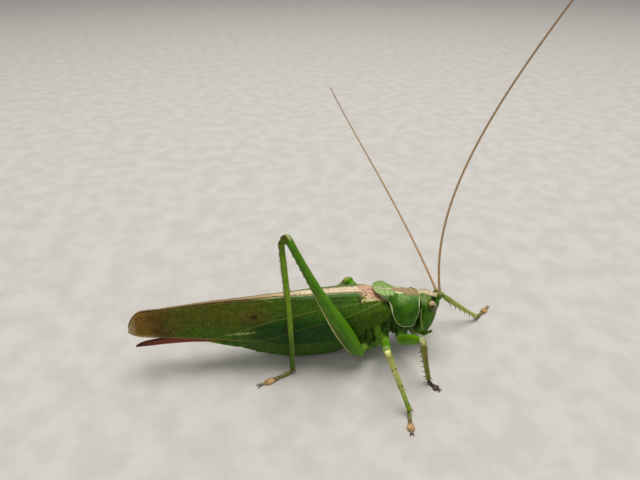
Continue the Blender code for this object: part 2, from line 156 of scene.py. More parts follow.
# z; x of the back, x of the face, half width of the head capsule
HEAD_ROWS = (
    (3.35, 19.5, 20.0, 0.9),
    (3.7, 19.1, 20.3, 1.35),
    (4.4, 18.75, 20.65, 1.75),
    (5.65, 18.4, 21.15, 2.15),
    (7.4, 18.0, 21.5, 2.45),
    (9.0, 17.85, 21.65, 2.5),
    (10.1, 17.85, 21.95, 2.35),
    (10.87, 17.95, 21.75, 1.95),
    (11.35, 18.05, 21.1, 1.5),
    (11.8, 18.1, 20.6, 1.1),
    (12.15, 18.1, 20.0, 0.9),
    (12.5, 18.15, 19.2, 0.75),
)
FEELERS = {
    "right": ((21.6, -0.8, 12.6), (16.8, -3.5, 31.2), (18.8, -12.0, 48.6), (21.0, -22.5, 63.5)),
    "left": ((21.4, 0.8, 12.0), (16.2, 9.0, 24.7), (9.5, 18.0, 34.5), (5.9, 28.0, 42.2)),
}
# hip, end of the coxa, knee, ankle and toe of each leg
LEGS = {
    "fore_right": ((14.1, -3.1, 6.0), (14.0, -4.3, 4.8), (15.35, -11.1, 10.6), (17.6, -10.3, 1.2),
                   (19.1, -12.6, 0.2)),
    "fore_left": ((14.6, 3.1, 6.0), (15.1, 4.0, 4.8), (24.1, 3.7, 8.0), (32.7, 4.4, 1.1), (37.34, 8.2, 0.2)),
    "mid_right": ((11.2, -3.4, 5.3), (11.35, -4.7, 4.5), (9.1, -12.2, 10.4), (12.35, -16.3, 1.1),
                  (11.6, -20.5, 0.2)),
    "mid_left": ((11.1, 3.4, 5.0), (11.5, 4.6, 4.0), (6.9, 10.2, 8.6), (5.2, 16.6, 1.1), (8.6, 18.4, 0.2)),
    "hind_right": ((7.4, -3.4, 3.7), (6.4, -5.0, 3.0), (-6.75, -6.4, 28.9), (-5.5, -4.7, 1.1),
                   (-12.1, -7.2, 0.2)),
    "hind_left": ((7.4, 3.4, 3.7), (6.4, 5.0, 3.0), (-20.4, 9.5, 6.3), (5.0, 11.5, 1.1), (11.3, 13.5, 0.2)),
}


# ---- curves and numbers ----

def rise(low, high, value):
    """0 below low, 1 above high, and a smooth rise between; high may be the smaller."""
    t = np.clip((value - low) / (high - low), 0, 1)
    return t * t * (3 - 2 * t)


def window(a, b, c, d, value):
    """Rises from a to b and falls from c to d."""
    return rise(a, b, value) * rise(d, c, value)


def hump(value, centre, width):
    """A smooth hump of height 1 round a centre."""
    return np.exp(-((value - centre) / width) ** 2)


def running(points):
    """Length run along each path of points, whose steps are on the first axis."""
    steps = np.linalg.norm(np.diff(points, axis=0), axis=-1)
    return np.concatenate([0 * steps[:1], np.cumsum(steps, 0)])


def column(values):
    """One value for each row of a grid."""
    return np.asarray(values)[:, None]


def on_curve(posts, place):
    """Posts of numbers on a Catmull-Rom curve, read at places counted from 0."""
    posts = np.asarray(posts, float)
    place = np.asarray(place, float)
    i = np.clip(place.astype(int), 0, len(posts) - 2)
    t = (place - i).reshape(place.shape + (1,) * (posts.ndim - 1))
    a, b = posts[np.maximum(i - 1, 0)], posts[i]
    c, d = posts[i + 1], posts[np.minimum(i + 2, len(posts) - 1)]
    return 0.5 * (2 * b + (c - a) * t + (2 * a - 5 * b + 4 * c - d) * t ** 2
                  + (3 * b - 3 * c + d - a) * t ** 3)


def read_rows(rows, at):
    """Rows on a smooth curve, read at values of their first column, which may run either way."""
    rows = np.asarray(rows, float)
    if rows[0, 0] > rows[-1, 0]:
        rows = rows[::-1]
    return on_curve(rows, np.interp(at, rows[:, 0], np.arange(len(rows))))


def bezier(points, t):
    """Places on a cubic Bezier curve."""
    a, b, c, d = (np.array(p, float) for p in points)
    t = np.asarray(t, float)[..., None]
    return a * (1 - t) ** 3 + 3 * b * t * (1 - t) ** 2 + 3 * c * t ** 2 * (1 - t) + d * t ** 3


def scatter(i, j, salt):
    """A steady random number from 0 to 1 for each pair of whole numbers."""
    n = np.sin(i * 127.1 + j * 311.7 + salt * 74.7) * 43758.5453
    return n - np.floor(n)


def cells(u, v, size, salt):
    """How far each point lies from the wall of its cell, in a net of uneven cells."""
    u, v = u / size, v / size
    i, j = np.floor(u), np.floor(v)
    first = np.full(u.shape, 9.0)
    second = np.full(u.shape, 9.0)
    for di in (-1, 0, 1):
        for dj in (-1, 0, 1):
            a = i + di + 0.15 + 0.7 * scatter(i + di, j + dj, salt)
            b = j + dj + 0.15 + 0.7 * scatter(i + di, j + dj, salt + 1)
            d = np.hypot(u - a, v - b)
            second = np.minimum(second, np.maximum(first, d))
            first = np.minimum(first, d)
    return (second - first) * size * 0.5


def waves(x, y, z, size, salt=0.0):
    """A soft uneven value from -1 to 1 over space, with lumps of about the given size."""
    k = math.tau / (size * 2.3)
    return (np.sin(k * (x + 0.7 * y) + salt) * np.sin(k * (1.3 * y - 0.6 * z) + 1.7 * salt + 1)
            + np.sin(k * 1.7 * (z - 0.4 * x) + 2.3 * salt) * np.sin(k * 1.9 * (x + 0.5 * z) + salt)) * 0.5


# ---- solids as fields ----

# between the points of the grid that each skin is cut from
STEP = {"trunk": 0.125, "head": 0.065, "jaw": 0.07, "upper_lip": 0.06, "lower_lip": 0.08, "foot": 0.05}


def ellipsoid(x, y, z, centre, radii):
    """Signed distance, nearly, to an ellipsoid."""
    q = [(a - c) / r for a, c, r in zip((x, y, z), centre, radii)]
    k0 = np.sqrt(q[0] ** 2 + q[1] ** 2 + q[2] ** 2)
    k1 = np.sqrt(sum((a / r) ** 2 for a, r in zip(q, radii)))
    return k0 * (k0 - 1) / np.maximum(k1, 1e-6)


def rod(x, y, z, start, end, r0, r1):
    """Signed distance to a round rod whose radius runs from r0 to r1."""
    a, b = np.array(start, float), np.array(end, float)
    run = b - a
    t = ((x - a[0]) * run[0] + (y - a[1]) * run[1] + (z - a[2]) * run[2]) / (run @ run)
    t = np.clip(t, 0, 1)
    d = np.sqrt((x - a[0] - t * run[0]) ** 2 + (y - a[1] - t * run[1]) ** 2 + (z - a[2] - t * run[2]) ** 2)
    return d - (r0 + (r1 - r0) * t)


def join(a, b, soft):
    """Union of two fields with a soft seam."""
    h = np.clip(0.5 + 0.5 * (b - a) / soft, 0, 1)
    return b + (a - b) * h - soft * h * (1 - h)


def carve(a, b, soft):
    """Field a with the shape of b taken out."""
    return -join(-a, b, soft)


def lumps(field, x, y, z, shapes):
    """Join shapes to a field: rods (start, end, two radii) and ellipsoids (middle, half axes)."""
    for soft, *shape in shapes:
        kind = rod if len(shape) == 4 else ellipsoid
        field = join(field, kind(x, y, z, *shape), soft)
    return field


def net_of(field, low, high, step):
    """Points and quads of a field's zero surface, one point in each crossed cell of a grid."""
    axes = [np.arange(a, b + step, step, dtype=np.float32) for a, b in zip(low, high)]
    grid = np.meshgrid(*axes, indexing="ij")
    value = field(*grid).astype(np.float32)
    inside = value < 0
    shape = tuple(n - 1 for n in value.shape)
    total = np.zeros(shape + (3,), np.float32)
    count = np.zeros(shape, np.float32)
    edges = []
    for axis in range(3):
        others = [k for k in range(3) if k != axis]
        near, far = (tuple(part if k == axis else slice(None) for k in range(3))
                     for part in (slice(0, -1), slice(1, None)))
        crossed = inside[near] != inside[far]
        part = np.where(crossed, value[near] / np.where(crossed, value[near] - value[far], 1), 0)
        place = np.stack([g[near] for g in grid], -1)
        place[..., axis] += part * step
        place *= crossed[..., None]
        for shift in ((0, 0), (0, 1), (1, 0), (1, 1)):
            cut = [slice(None)] * 3
            for k, d in zip(others, shift):
                cut[k] = slice(d, d + shape[k])
            total += place[tuple(cut)]
            count += crossed[tuple(cut)]
        edges.append((axis, others, crossed, inside[near]))
    used = count > 0
    number = np.full(shape, -1, np.int64)
    number[used] = np.arange(used.sum())
    points = total[used] / count[used][:, None]
    quads = []
    for axis, others, crossed, first_inside in edges:
        i = np.argwhere(crossed)
        i = i[np.all([(i[:, k] > 0) & (i[:, k] < shape[k]) for k in others], axis=0)]
        corners = []
        for shift in ((-1, -1), (0, -1), (0, 0), (-1, 0)):
            corner = i.copy()
            corner[:, others] += shift
            corners.append(number[tuple(corner.T)])
        quad = np.stack(corners, 1)
        flip = first_inside[tuple(i.T)] == (axis == 1)
        quad[flip] = quad[flip][:, ::-1]
        quads.append(quad)
    return points.astype(float), np.concatenate(quads)


# ---- meshes ----

def make_piece(name, net, look, slot, marks, *nodes):
    """A mesh in the frame, riding on the root body and standing for some solids."""
    points, faces = net
    mesh = bpy.data.meshes.new(name)
    if isinstance(faces, np.ndarray):
        faces = faces.tolist()
    mesh.from_pydata((np.asarray(points) * MM + OFFSET).tolist(), [], faces)
    mesh.validate()
    mesh.shade_smooth()
    for key, values in marks.items():
        layer = mesh.attributes.new(key, "FLOAT", "POINT")
        values = np.broadcast_to(np.ravel(values), len(points)).astype(np.float32)
        layer.data.foreach_set("value", values)
    mesh.materials.append(look)
    piece = bpy.data.objects.new(name, mesh)
    bpy.context.scene.collection.objects.link(piece)
    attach(piece, "root")
    if nodes:
        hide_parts(*nodes)
    return piece


def grid_faces(rows, columns, closed, first=0):
    """Quads between the points of a grid; closed joins its last column to its first."""
    i = np.arange(rows - 1)[:, None] * columns
    j = np.arange(columns if closed else columns - 1)[None, :]
    n = (j + 1) % columns
    return (np.stack([i + j, i + columns + j, i + columns + n, i + n], -1) + first).reshape(-1, 4)


def grid_normals(points, closed):
    """Unit normals of a grid of points, on the side that its faces look to."""
    along = np.gradient(points, axis=0)
    if closed:
        around = np.roll(points, -1, 1) - np.roll(points, 1, 1)
    else:
        around = np.gradient(points, axis=1)
    normal = np.cross(along, around)
    return normal / np.maximum(np.linalg.norm(normal, axis=2, keepdims=True), 1e-9)


def closed_faces(rows, columns, first):
    """Faces of a tube of rings, with a lid at both ends."""
    last = first + (rows - 1) * columns
    return (grid_faces(rows, columns, True, first).tolist()
            + [list(range(first, first + columns)), list(range(last + columns - 1, last - 1, -1))])


def shell_faces(rows, columns, step):
    """Faces of an outer grid, an inner one with a point for each step-th outer one, and their rim."""
    inner_rows, inner_columns = (rows - 1) // step + 1, (columns - 1) // step + 1
    start = rows * columns
    faces = grid_faces(rows, columns, False).tolist()
    faces += grid_faces(inner_rows, inner_columns, False, start)[:, ::-1].tolist()

    def rim(out, back, count):
        """Faces between two rows of points that run the same way."""
        for k in range(count - 1):
            faces.append([out[i] for i in range(k * step, (k + 1) * step + 1)] + [back[k + 1], back[k]])

    outer = np.arange(start).reshape(rows, columns).tolist()
    inner = (start + np.arange(inner_rows * inner_columns)).reshape(inner_rows, inner_columns).tolist()
    turned = [list(points) for points in zip(*outer)], [list(points) for points in zip(*inner)]
    rim(turned[0][-1], turned[1][-1], inner_rows)
    rim(outer[0], inner[0], inner_columns)
    rim(turned[0][0][::-1], turned[1][0][::-1], inner_rows)
    rim(outer[-1][::-1], inner[-1][::-1], inner_columns)
    return faces


def draped(posts, spans, place):
    """Points (y, z) at given places along curves through rows of posts."""
    line = on_curve(posts, np.linspace(0, len(posts) - 1, spans))
    length = running(line)
    place = place(column(length[-1]))
    rows = range(place.shape[0])
    y, z = (np.stack([np.interp(abs(place[k]), length[:, k], line[:, k, axis]) for k in rows])
            for axis in (0, 1))
    return column(length[-1]), place, y, z


class Tube:
    """A skin round a path: its rings are ovals whose halves and bends can be set.

    level is -1 to 1 across each ring's height and lateral -1 to 1 across its width.
    """

    def __init__(self, path, half_up, half_side, flat, sides, power=1.0):
        self.path = np.asarray(path, float)
        axis = np.gradient(self.path, axis=0)
        axis /= np.linalg.norm(axis, axis=1, keepdims=True)
        flat = np.broadcast_to(np.asarray(flat, float), axis.shape)
        side = flat - axis * (axis * flat).sum(1, keepdims=True)
        side /= np.linalg.norm(side, axis=1, keepdims=True)
        self.side, self.up = side, np.cross(side, axis)
        angle = math.tau * np.arange(sides) / sides
        shape = (len(self.path), sides)
        self.lateral, self.level = (np.broadcast_to(np.sign(w) * abs(w) ** power, shape)
                                    for w in (np.cos(angle), np.sin(angle)))
        half_up, half_side = (column(np.broadcast_to(half, len(self.path))) for half in (half_up, half_side))
        self.points = (self.path[:, None] + side[:, None] * (half_side * self.lateral)[..., None]
                       + self.up[:, None] * (half_up * self.level)[..., None])

    def swell(self, amount):
        """Move the skin out by an amount for each ring and side."""
        self.points = self.points + grid_normals(self.points, True) * np.asarray(amount)[..., None]
        return self

    def build(self, first=0):
        """Points and faces, closed at both ends."""
        rows, columns = self.points.shape[:2]
        return self.points.reshape(-1, 3), closed_faces(rows, columns, first)


def round_ends(share, start=0.0, end=0.0):
    """A factor that rounds a limb's ends over a share of its length."""
    out = np.ones_like(share)
    if start:
        out *= np.sqrt(1 - np.clip(1 - share / start, 0, 0.98) ** 2)
    if end:
        out *= np.sqrt(1 - np.clip(1 - (1 - share) / end, 0, 0.98) ** 2)
    return out


# ---- looks ----

class Look:
    """A node material written as calls: each adds nodes and returns the last one's output.

    The colour laid down so far is kept in self.colour.
    """

    def __init__(self, name):
        self.made = bpy.data.materials.new(name)
        self.made.use_nodes = True
        self.tree = self.made.node_tree
        self.shader = self.tree.nodes["Principled BSDF"]
        here = self.node("ShaderNodeTexCoord", {}, "Object")
        self.where = self.node("ShaderNodeVectorMath", {0: here, "Scale": 1 / MM}, operation="SCALE")
        self.colour = None

    def set(self, socket, value):
        if isinstance(value, bpy.types.NodeSocket):
            self.tree.links.new(value, socket)
        elif isinstance(value, tuple) and len(value) == 3 and socket.type == "RGBA":
            socket.default_value = (*value, 1.0)
        else:
            socket.default_value = value

    def node(self, kind, inputs, output=0, **settings):
        made = self.tree.nodes.new(kind)
        for key, value in settings.items():
            setattr(made, key, value)
        for key, value in inputs.items():
            self.set(made.inputs[key], value)
        return made.outputs[output]

    def mark(self, name):
        return self.node("ShaderNodeAttribute", {}, "Fac", attribute_name=name)

    def noise(self, size, detail, rough=0.55):
        return self.node("ShaderNodeTexNoise", {"Vector": self.where, "Scale": 1 / size,
                                                "Detail": detail, "Roughness": rough})

    def cell(self, size, feature="F1"):
        return self.node("ShaderNodeTexVoronoi", {"Vector": self.where, "Scale": 1 / size}, feature=feature)

    def math(self, operation, *values):
        return self.node("ShaderNodeMath", dict(enumerate(values)), operation=operation)

    def times(self, *values):
        return reduce(lambda a, b: self.math("MULTIPLY", a, b), values)

    def plus(self, a, b, share=1.0):
        """Value a with a share of value b added."""
        return self.math("MULTIPLY_ADD", b, share, a)

    def off(self, value, scale, shift):
        """How far a value, scaled and shifted, is from 0."""
        return self.math("ABSOLUTE", self.math("MULTIPLY_ADD", value, scale, shift))

    def fit(self, value, low, high, to_low=0.0, to_high=1.0):
        return self.node("ShaderNodeMapRange", {0: value, 1: low, 2: high, 3: to_low, 4: to_high},
                         interpolation_type="SMOOTHSTEP")

    def window(self, value, a, b, c, d):
        """Rises from a to b and falls from c to d."""
        return self.times(self.fit(value, a, b), self.fit(value, d, c))

    def cloud(self, size, detail, low, high, to_low=0.0, to_high=1.0, rough=0.55):
        """Noise, spread from a range of its own to another."""
        return self.fit(self.noise(size, detail, rough), low, high, to_low, to_high)

    def mix(self, factor, a, b, how="MIX"):
        return self.node("ShaderNodeMix", {0: factor, 6: a, 7: b}, 2, data_type="RGBA", blend_type=how)

    def paint(self, colour, *factors):
        """Lay a colour over what is there, as far as the product of the factors."""
        self.colour = self.mix(self.times(*factors), self.colour, colour)

    def shade(self, value):
        """Multiply what is there by a value."""
        self.colour = self.mix(1.0, self.colour, value, "MULTIPLY")

    def ramp(self, value, stops):
        made = self.tree.nodes.new("ShaderNodeValToRGB")
        elements = made.color_ramp.elements
        elements.remove(elements[1])
        elements[0].position = stops[0][0]
        elements[0].color = (*stops[0][1], 1.0)
        for at, colour in stops[1:]:
            elements.new(at).color = (*colour, 1.0)
        self.set(made.inputs[0], value)
        return made.outputs[0]

    def bump(self, height, strength, depth, under=None):
        under = {} if under is None else {"Normal": under}
        inputs = {"Height": height, "Strength": strength, "Distance": depth * MM}
        return self.node("ShaderNodeBump", {**inputs, **under})

    def done(self, roughness, normal=None, **fixed):
        fixed.update({"Base Color": self.colour, "Roughness": roughness})
        if normal is not None:
            fixed["Normal"] = normal
        for key, value in fixed.items():
            self.set(self.shader.inputs[key.replace("_", " ")], value)
        return self.made


# default paints of the marks; in some looks grey and dark also carry painted sheen and painted shade
MARKS = {
    "grey": (0.2, 0.31, 0.1),
    "tan": (0.55, 0.34, 0.17),
    "pale": (0.55, 0.62, 0.24),
    "dark": (0.012, 0.008, 0.004),
}


def cuticle(name, deep, bright, grain=0.12, grain_depth=0.012, **paints):
    """Insect cuticle: two greens in soft clouds, then marks painted over them."""
    look = Look(name)
    look.colour = look.mix(look.cloud(1.3, 5.0, 0.35, 0.65), deep, bright)
    look.shade(look.fit(look.cell(0.16), 0.0, 0.5, 0.78, 1.12))
    speckle = look.cloud(0.25, 4.0, 0.25, 0.6, 0.72, 1.0)
    for mark, paint in {**MARKS, **paints}.items():
        look.paint(paint, look.mark(mark), speckle)
    pits = look.bump(look.cell(grain), 0.6, grain_depth)
    normal = look.bump(look.noise(0.5, 4.0), 0.5, 0.04, pits)
    return look.done(look.cloud(0.7, 4.0, 0.3, 0.7, 0.3, 0.5), normal, Specular_IOR_Level=0.2)


# ---- fore wings ----

WING_GRID = (601, 133)
INNER_STEP = 6                   # the inner side has one point for this many on the outer side
WING_SKIN = 0.11
LAP_LIFT = 0.1                  # the left wing's hem lies this far over the right wing
LAP_ROWS = ((0.0, 0.85), (0.1, 0.8), (0.3, 0.55), (0.5, 0.34), (0.7, 0.25), (0.9, 0.2), (1.0, 0.15))
RIDGE_ROWS = ((0.0, 1.15), (0.06, 1.15), (0.12, 0.8), (0.3, 0.62), (0.42, 0.42), (0.55, 0.29), (0.7, 0.18),
              (0.85, 0.12), (1.0, 0.09))     # half width of the pale band along the ridge
# long veins: share of the wing's length, share of its width below the ridge
LONG_VEINS = (
    ((0.0, 0.31), (0.09, 0.35), (0.18, 0.34), (0.26, 0.345), (0.37, 0.43), (0.46, 0.51), (0.54, 0.65),
     (0.615, 0.83), (0.69, 0.985)),
    ((0.0, 0.36), (0.04, 0.42), (0.1, 0.48), (0.17, 0.51), (0.24, 0.57), (0.305, 0.62), (0.36, 0.69),
     (0.43, 0.82), (0.52, 0.98)),
    ((0.0, 0.33), (0.1, 0.33), (0.2, 0.29), (0.3, 0.31), (0.4, 0.38), (0.5, 0.47), (0.6, 0.62), (0.7, 0.78),
     (0.82, 0.97)),
    ((0.4, 0.38), (0.5, 0.42), (0.6, 0.52), (0.7, 0.64), (0.8, 0.76), (0.92, 0.92)),
    ((0.47, 0.4), (0.56, 0.42), (0.66, 0.5), (0.76, 0.6), (0.88, 0.72), (1.0, 0.84)),
    ((0.56, 0.37), (0.66, 0.4), (0.76, 0.47), (0.88, 0.57), (1.0, 0.66)),
    ((0.62, 0.3), (0.72, 0.33), (0.82, 0.38), (0.92, 0.44), (1.0, 0.48)),
    ((0.0, 0.28), (0.1, 0.26), (0.2, 0.22), (0.3, 0.22), (0.4, 0.25), (0.5, 0.28), (0.6, 0.3), (0.72, 0.26),
     (0.86, 0.28), (1.0, 0.32)),
    ((0.03, 0.2), (0.15, 0.16), (0.3, 0.13), (0.45, 0.14), (0.6, 0.17), (0.75, 0.17), (0.9, 0.18),
     (1.0, 0.18)),
    ((0.02, 0.11), (0.1, 0.1), (0.2, 0.085), (0.4, 0.075), (0.6, 0.08), (0.8, 0.09), (1.0, 0.08)),
    ((0.12, 0.985), (0.3, 0.985), (0.6, 0.98), (0.9, 0.975), (1.0, 0.96)),
)
FAR_OFF = 90.0                   # stands for no vein
VEIN_TONE = (1.0, 0.7, 0.4)      # how clear the first, the second and all other veins are


def wing_relief(share, arc, width):
    """Height of veins and folds over the wing's plain surface, with masks of its veins and net."""
    run = share[:, None] * WING_LENGTH + 0 * arc
    across = arc / width
    nearest = np.full(arc.shape, 9.0)
    height = np.zeros(arc.shape)
    vein = np.zeros(arc.shape)
    band = np.zeros(arc.shape)
    for number, posts in enumerate(LONG_VEINS):
        posts = [(at, level * np.interp(at, share, width[:, 0])) for at, level in posts]
        on_wing = (share >= posts[0][0]) & (share <= posts[-1][0])
        line = column(np.where(on_wing, read_rows(posts, share)[:, 1], FAR_OFF))
        slope = np.clip(np.gradient(line, axis=0) / (WING_LENGTH / (len(share) - 1)), -1, 1)
        distance = abs(arc - line) / np.sqrt(1 + slope ** 2)
        size = 0.13 if number < 2 else 0.075
        taper = 1.1 - 0.55 * share[:, None]
        bulge = hump(distance, 0, size * taper)
        height = np.maximum(height, bulge * size * 0.85 * taper)
        vein = np.maximum(vein, bulge * VEIN_TONE[min(number, 2)])
        nearest = np.minimum(nearest, distance)
        band += arc > line
    low_field = rise(0.42, 0.6, across) * rise(0.66, 0.45, share)[:, None]
    spacing = 0.62 + 0.5 * low_field
    skew = 0.15 + 0.9 * low_field - 0.5 * rise(0.3, 0.1, across)
    phase = (run + skew * arc) / spacing + 7.3 * scatter(band, 0, 3) + 0.22 * np.sin(arc * 2.1 + run * 0.7)
    line_number = np.floor(phase)
    ladder = np.full(arc.shape, 9.0)
    for step in (-1, 0, 1):
        place = line_number + step + 0.5 + 0.55 * (scatter(line_number + step, band, 5) - 0.5)
        ladder = np.minimum(ladder, abs(phase - place) * spacing)
    rung = hump(ladder, 0, 0.075) * rise(-0.02, 0.03, across)
    net = hump(cells(run, arc, 0.46, 11), 0, 0.045)
    height = np.maximum.reduce([height, 0.042 * rung, 0.02 * net])
    dome = rise(0.0, 0.22, np.minimum(nearest, ladder)) * 0.028
    folds = 0.07 * waves(run, arc, 0 * arc, 3.0) * rise(0.0, 0.15, across)
    return height + dome + folds, vein, np.maximum(0.7 * net, rung)


def wing_sheet(side, word, look):
    """One fore wing: a veined outer side, a plain inner side, and a rim between them."""
    rows, columns = WING_GRID
    share = np.linspace(0, 1, rows)
    row = read_rows(WING_ROWS, share)
    x = WING_FRONT_X - row[:, 0] * (WING_LENGTH - 0.12)
    posts = np.stack([np.stack([0 * x, row[:, 1]], -1), row[:, 2:4], row[:, 4:6], row[:, 6:8]])
    lap = read_rows(LAP_ROWS, share)[:, 1:] * (1 if side > 0 else -0.01)
    width, arc, y, z = draped(posts, 49, lambda full: -lap + (full + lap) * np.linspace(0, 1, columns))
    y = np.where(arc < 0, -y, y)
    lean = 0.65 * rise(12.9, 11.0, z) * column(rise(0.055, 0.0, share))
    points = np.stack([column(x) + lean, side * y, z], -1)
    normal = grid_normals(points, False) * -side
    height, vein, net = wing_relief(share, arc, width)
    lift = LAP_LIFT * rise(0.5, -0.1, arc) if side > 0 else -0.04 * rise(0.9, 0.0, arc)
    outer = points + normal * (height - WING_SKIN * 0.5 + lift)[..., None]
    inner = points + normal * (height * 0.3 - WING_SKIN * 1.5 + lift)[..., None]
    inner = inner[::INNER_STEP, ::INNER_STEP]
    faces = shell_faces(rows, columns, INNER_STEP)
    if side > 0:
        faces = [face[::-1] for face in faces]

    def both(values, inside=1):
        """Values of the outer side, then those of the inner one."""
        return np.concatenate([values.ravel(), inside * values[::INNER_STEP, ::INNER_STEP].ravel()])

    marks = {
        "along": both(column(share) + 0 * arc),
        "across": both(abs(arc) / width),
        "ridge": both(abs(arc) - read_rows(RIDGE_ROWS, share)[:, 1:]),
        "vein": both(vein, 0),
        "net": both(net, 0),
    }
    points = np.concatenate([outer.reshape(-1, 3), inner.reshape(-1, 3)])
    return make_piece("wing_" + word, (points, faces), look, "wing_green", marks, "forewing_" + word)


def wing_look():
    """Leathery green membrane with a pale ridge, olive behind, ochre at the tip, under a fine net."""
    look = Look("wing")
    along, across, ridge = look.mark("along"), look.mark("across"), look.mark("ridge")
    drift = look.math("MULTIPLY_ADD", look.noise(1.6, 6.0, 0.65), 0.2, -0.1)
    reach = look.plus(along, drift)
    level = look.plus(across, drift, 0.6)
    look.colour = look.ramp(reach, (
        (0.0, (0.05, 0.115, 0.002)), (0.18, (0.03, 0.088, 0.002)), (0.4, (0.03, 0.075, 0.001)),
        (0.52, (0.05, 0.068, 0.002)), (0.8, (0.062, 0.072, 0.002)), (0.9, (0.085, 0.06, 0.004)),
        (1.0, (0.13, 0.08, 0.012))))
    low = look.fit(level, 0.4, 0.6)
    look.paint((0.006, 0.048, 0.002), low, look.window(reach, 0.14, 0.26, 0.48, 0.62), 0.9)
    look.paint((0.05, 0.1, 0.002), low, look.fit(reach, 0.2, 0.04))
    look.paint((0.044, 0.094, 0.002), look.fit(level, 0.45, 0.8), look.window(reach, 0.5, 0.6, 0.74, 0.86))
    look.shade(look.cloud(0.6, 6.0, 0.3, 0.7, 0.55, 1.4, 0.75))

    # the dark spot in its halo, and behind it a painted highlight: a pale streak and a short pale line
    spot = look.plus(look.off(along, 32.0, -16.75), look.off(across, 13.0, -5.45))
    look.paint((0.075, 0.035, 0.004), look.fit(look.plus(spot, drift, 12.0), 3.4, 0.8), 0.45)
    look.paint((0.006, 0.001, 0.001), look.fit(look.plus(spot, drift, 7.0), 0.72, 0.45))
    # painted highlight: a pale streak running back from the spot
    beside = look.math("ABSOLUTE", look.plus(look.math("MULTIPLY_ADD", along, 1.03, 0.205), across, -1.0))
    streak = look.plus(look.off(along, 44.5, -25.6), beside, 75.0)
    look.paint((0.42, 0.46, 0.22), look.fit(streak, 3.6, 2.0), look.cloud(0.25, 3.0, 0.35, 0.6), 0.8)
    # painted highlight: a short pale line slanting down from the ridge
    highlight_line = look.math("ABSOLUTE", look.plus(across, look.math("MULTIPLY_ADD", along, -2.1, 1.094), -1.0))
    look.paint((0.32, 0.3, 0.1), look.fit(highlight_line, 0.014, 0.004),
               look.window(along, 0.44, 0.45, 0.485, 0.5), 0.45)

    # the ochre tip, its dark border and its frayed hem
    look.paint((0.055, 0.026, 0.002), look.window(reach, 0.84, 0.87, 0.89, 0.93),
               look.fit(level, 0.2, 0.7, 0.25, 0.7))
    look.paint((0.155, 0.085, 0.008), look.fit(reach, 0.875, 0.93),
               look.cloud(1.4, 5.0, 0.25, 0.5, rough=0.7), 0.85)
    hem = look.math("MAXIMUM", look.fit(along, 0.955, 0.995),
                    look.times(look.fit(along, 0.86, 0.95), look.fit(across, 0.88, 0.98)))
    look.paint((0.44, 0.34, 0.19), hem, look.cloud(0.45, 5.0, 0.36, 0.6, 0.25, 1.0, 0.75), 0.85)
    look.paint((0.26, 0.25, 0.085), look.fit(across, 0.972, 0.986), look.fit(along, 0.45, 0.6), 0.5)

    # veins and net
    vein = look.ramp(along, (
        (0.0, (0.24, 0.34, 0.07)), (0.15, (0.2, 0.25, 0.05)), (0.3, (0.13, 0.12, 0.012)),
        (0.55, (0.16, 0.18, 0.02)), (0.8, (0.14, 0.14, 0.02)), (1.0, (0.3, 0.22, 0.1))))
    look.paint(vein, look.mark("vein"), 0.5)
    lighter = look.mix(1.0, look.colour, (2.3, 2.0, 2.0), "MULTIPLY")
    comb = look.times(look.window(along, 0.08, 0.12, 0.24, 0.3), look.window(across, 0.26, 0.3, 0.46, 0.52))
    look.paint((0.012, 0.045, 0.001), comb, 0.55)
    look.paint(look.mix(comb, lighter, (0.13, 0.24, 0.012)), look.mark("net"), look.plus(0.5, comb, 0.35))
    walls = look.fit(look.cell(0.24, "DISTANCE_TO_EDGE"), 0.12, 0.02)
    look.paint(lighter, walls, 0.35)

    # the ridge: a blue-green painted reflection of the sky and cream beside it, rust behind, then its tan
    # band
    off = look.plus(ridge, look.math("MULTIPLY_ADD", look.noise(0.8, 4.0), 0.3, -0.15))
    # painted reflection: the sky's blue-green sheen on the shoulder beside the ridge
    look.paint((0.085, 0.19, 0.045), look.fit(off, 1.05, 0.9),
               look.window(along, 0.09, 0.13, 0.26, 0.4), 0.8)
    look.paint(look.mix(look.cloud(0.5, 4.0, 0.4, 0.6), (0.22, 0.25, 0.08), (0.34, 0.36, 0.17)),
               look.fit(off, 0.46, 0.38), look.window(along, 0.05, 0.09, 0.44, 0.56))
    look.paint((0.085, 0.04, 0.005), look.fit(off, 0.75, 0.1), look.fit(reach, 0.46, 0.6),
               look.cloud(0.7, 4.0, 0.4, 0.56, rough=0.7))
    look.paint((0.095, 0.04, 0.012), look.window(off, -0.02, 0.03, 0.08, 0.13),
               look.fit(along, 0.7, 0.88, 0.8, 0.0))
    band = look.ramp(reach, (
        (0.0, (0.4, 0.22, 0.12)), (0.06, (0.46, 0.27, 0.17)), (0.12, (1.0, 0.8, 0.54)),
        (0.3, (1.0, 0.8, 0.52)), (0.44, (0.68, 0.5, 0.26)), (0.6, (0.42, 0.29, 0.14)),
        (0.8, (0.3, 0.19, 0.07)), (1.0, (0.4, 0.3, 0.18))))
    grit = look.times(look.cloud(0.32, 5.0, 0.46, 0.6, rough=0.7), 0.5)
    look.paint(look.mix(grit, band, (0.26, 0.12, 0.05)), look.fit(off, 0.04, 0.0))

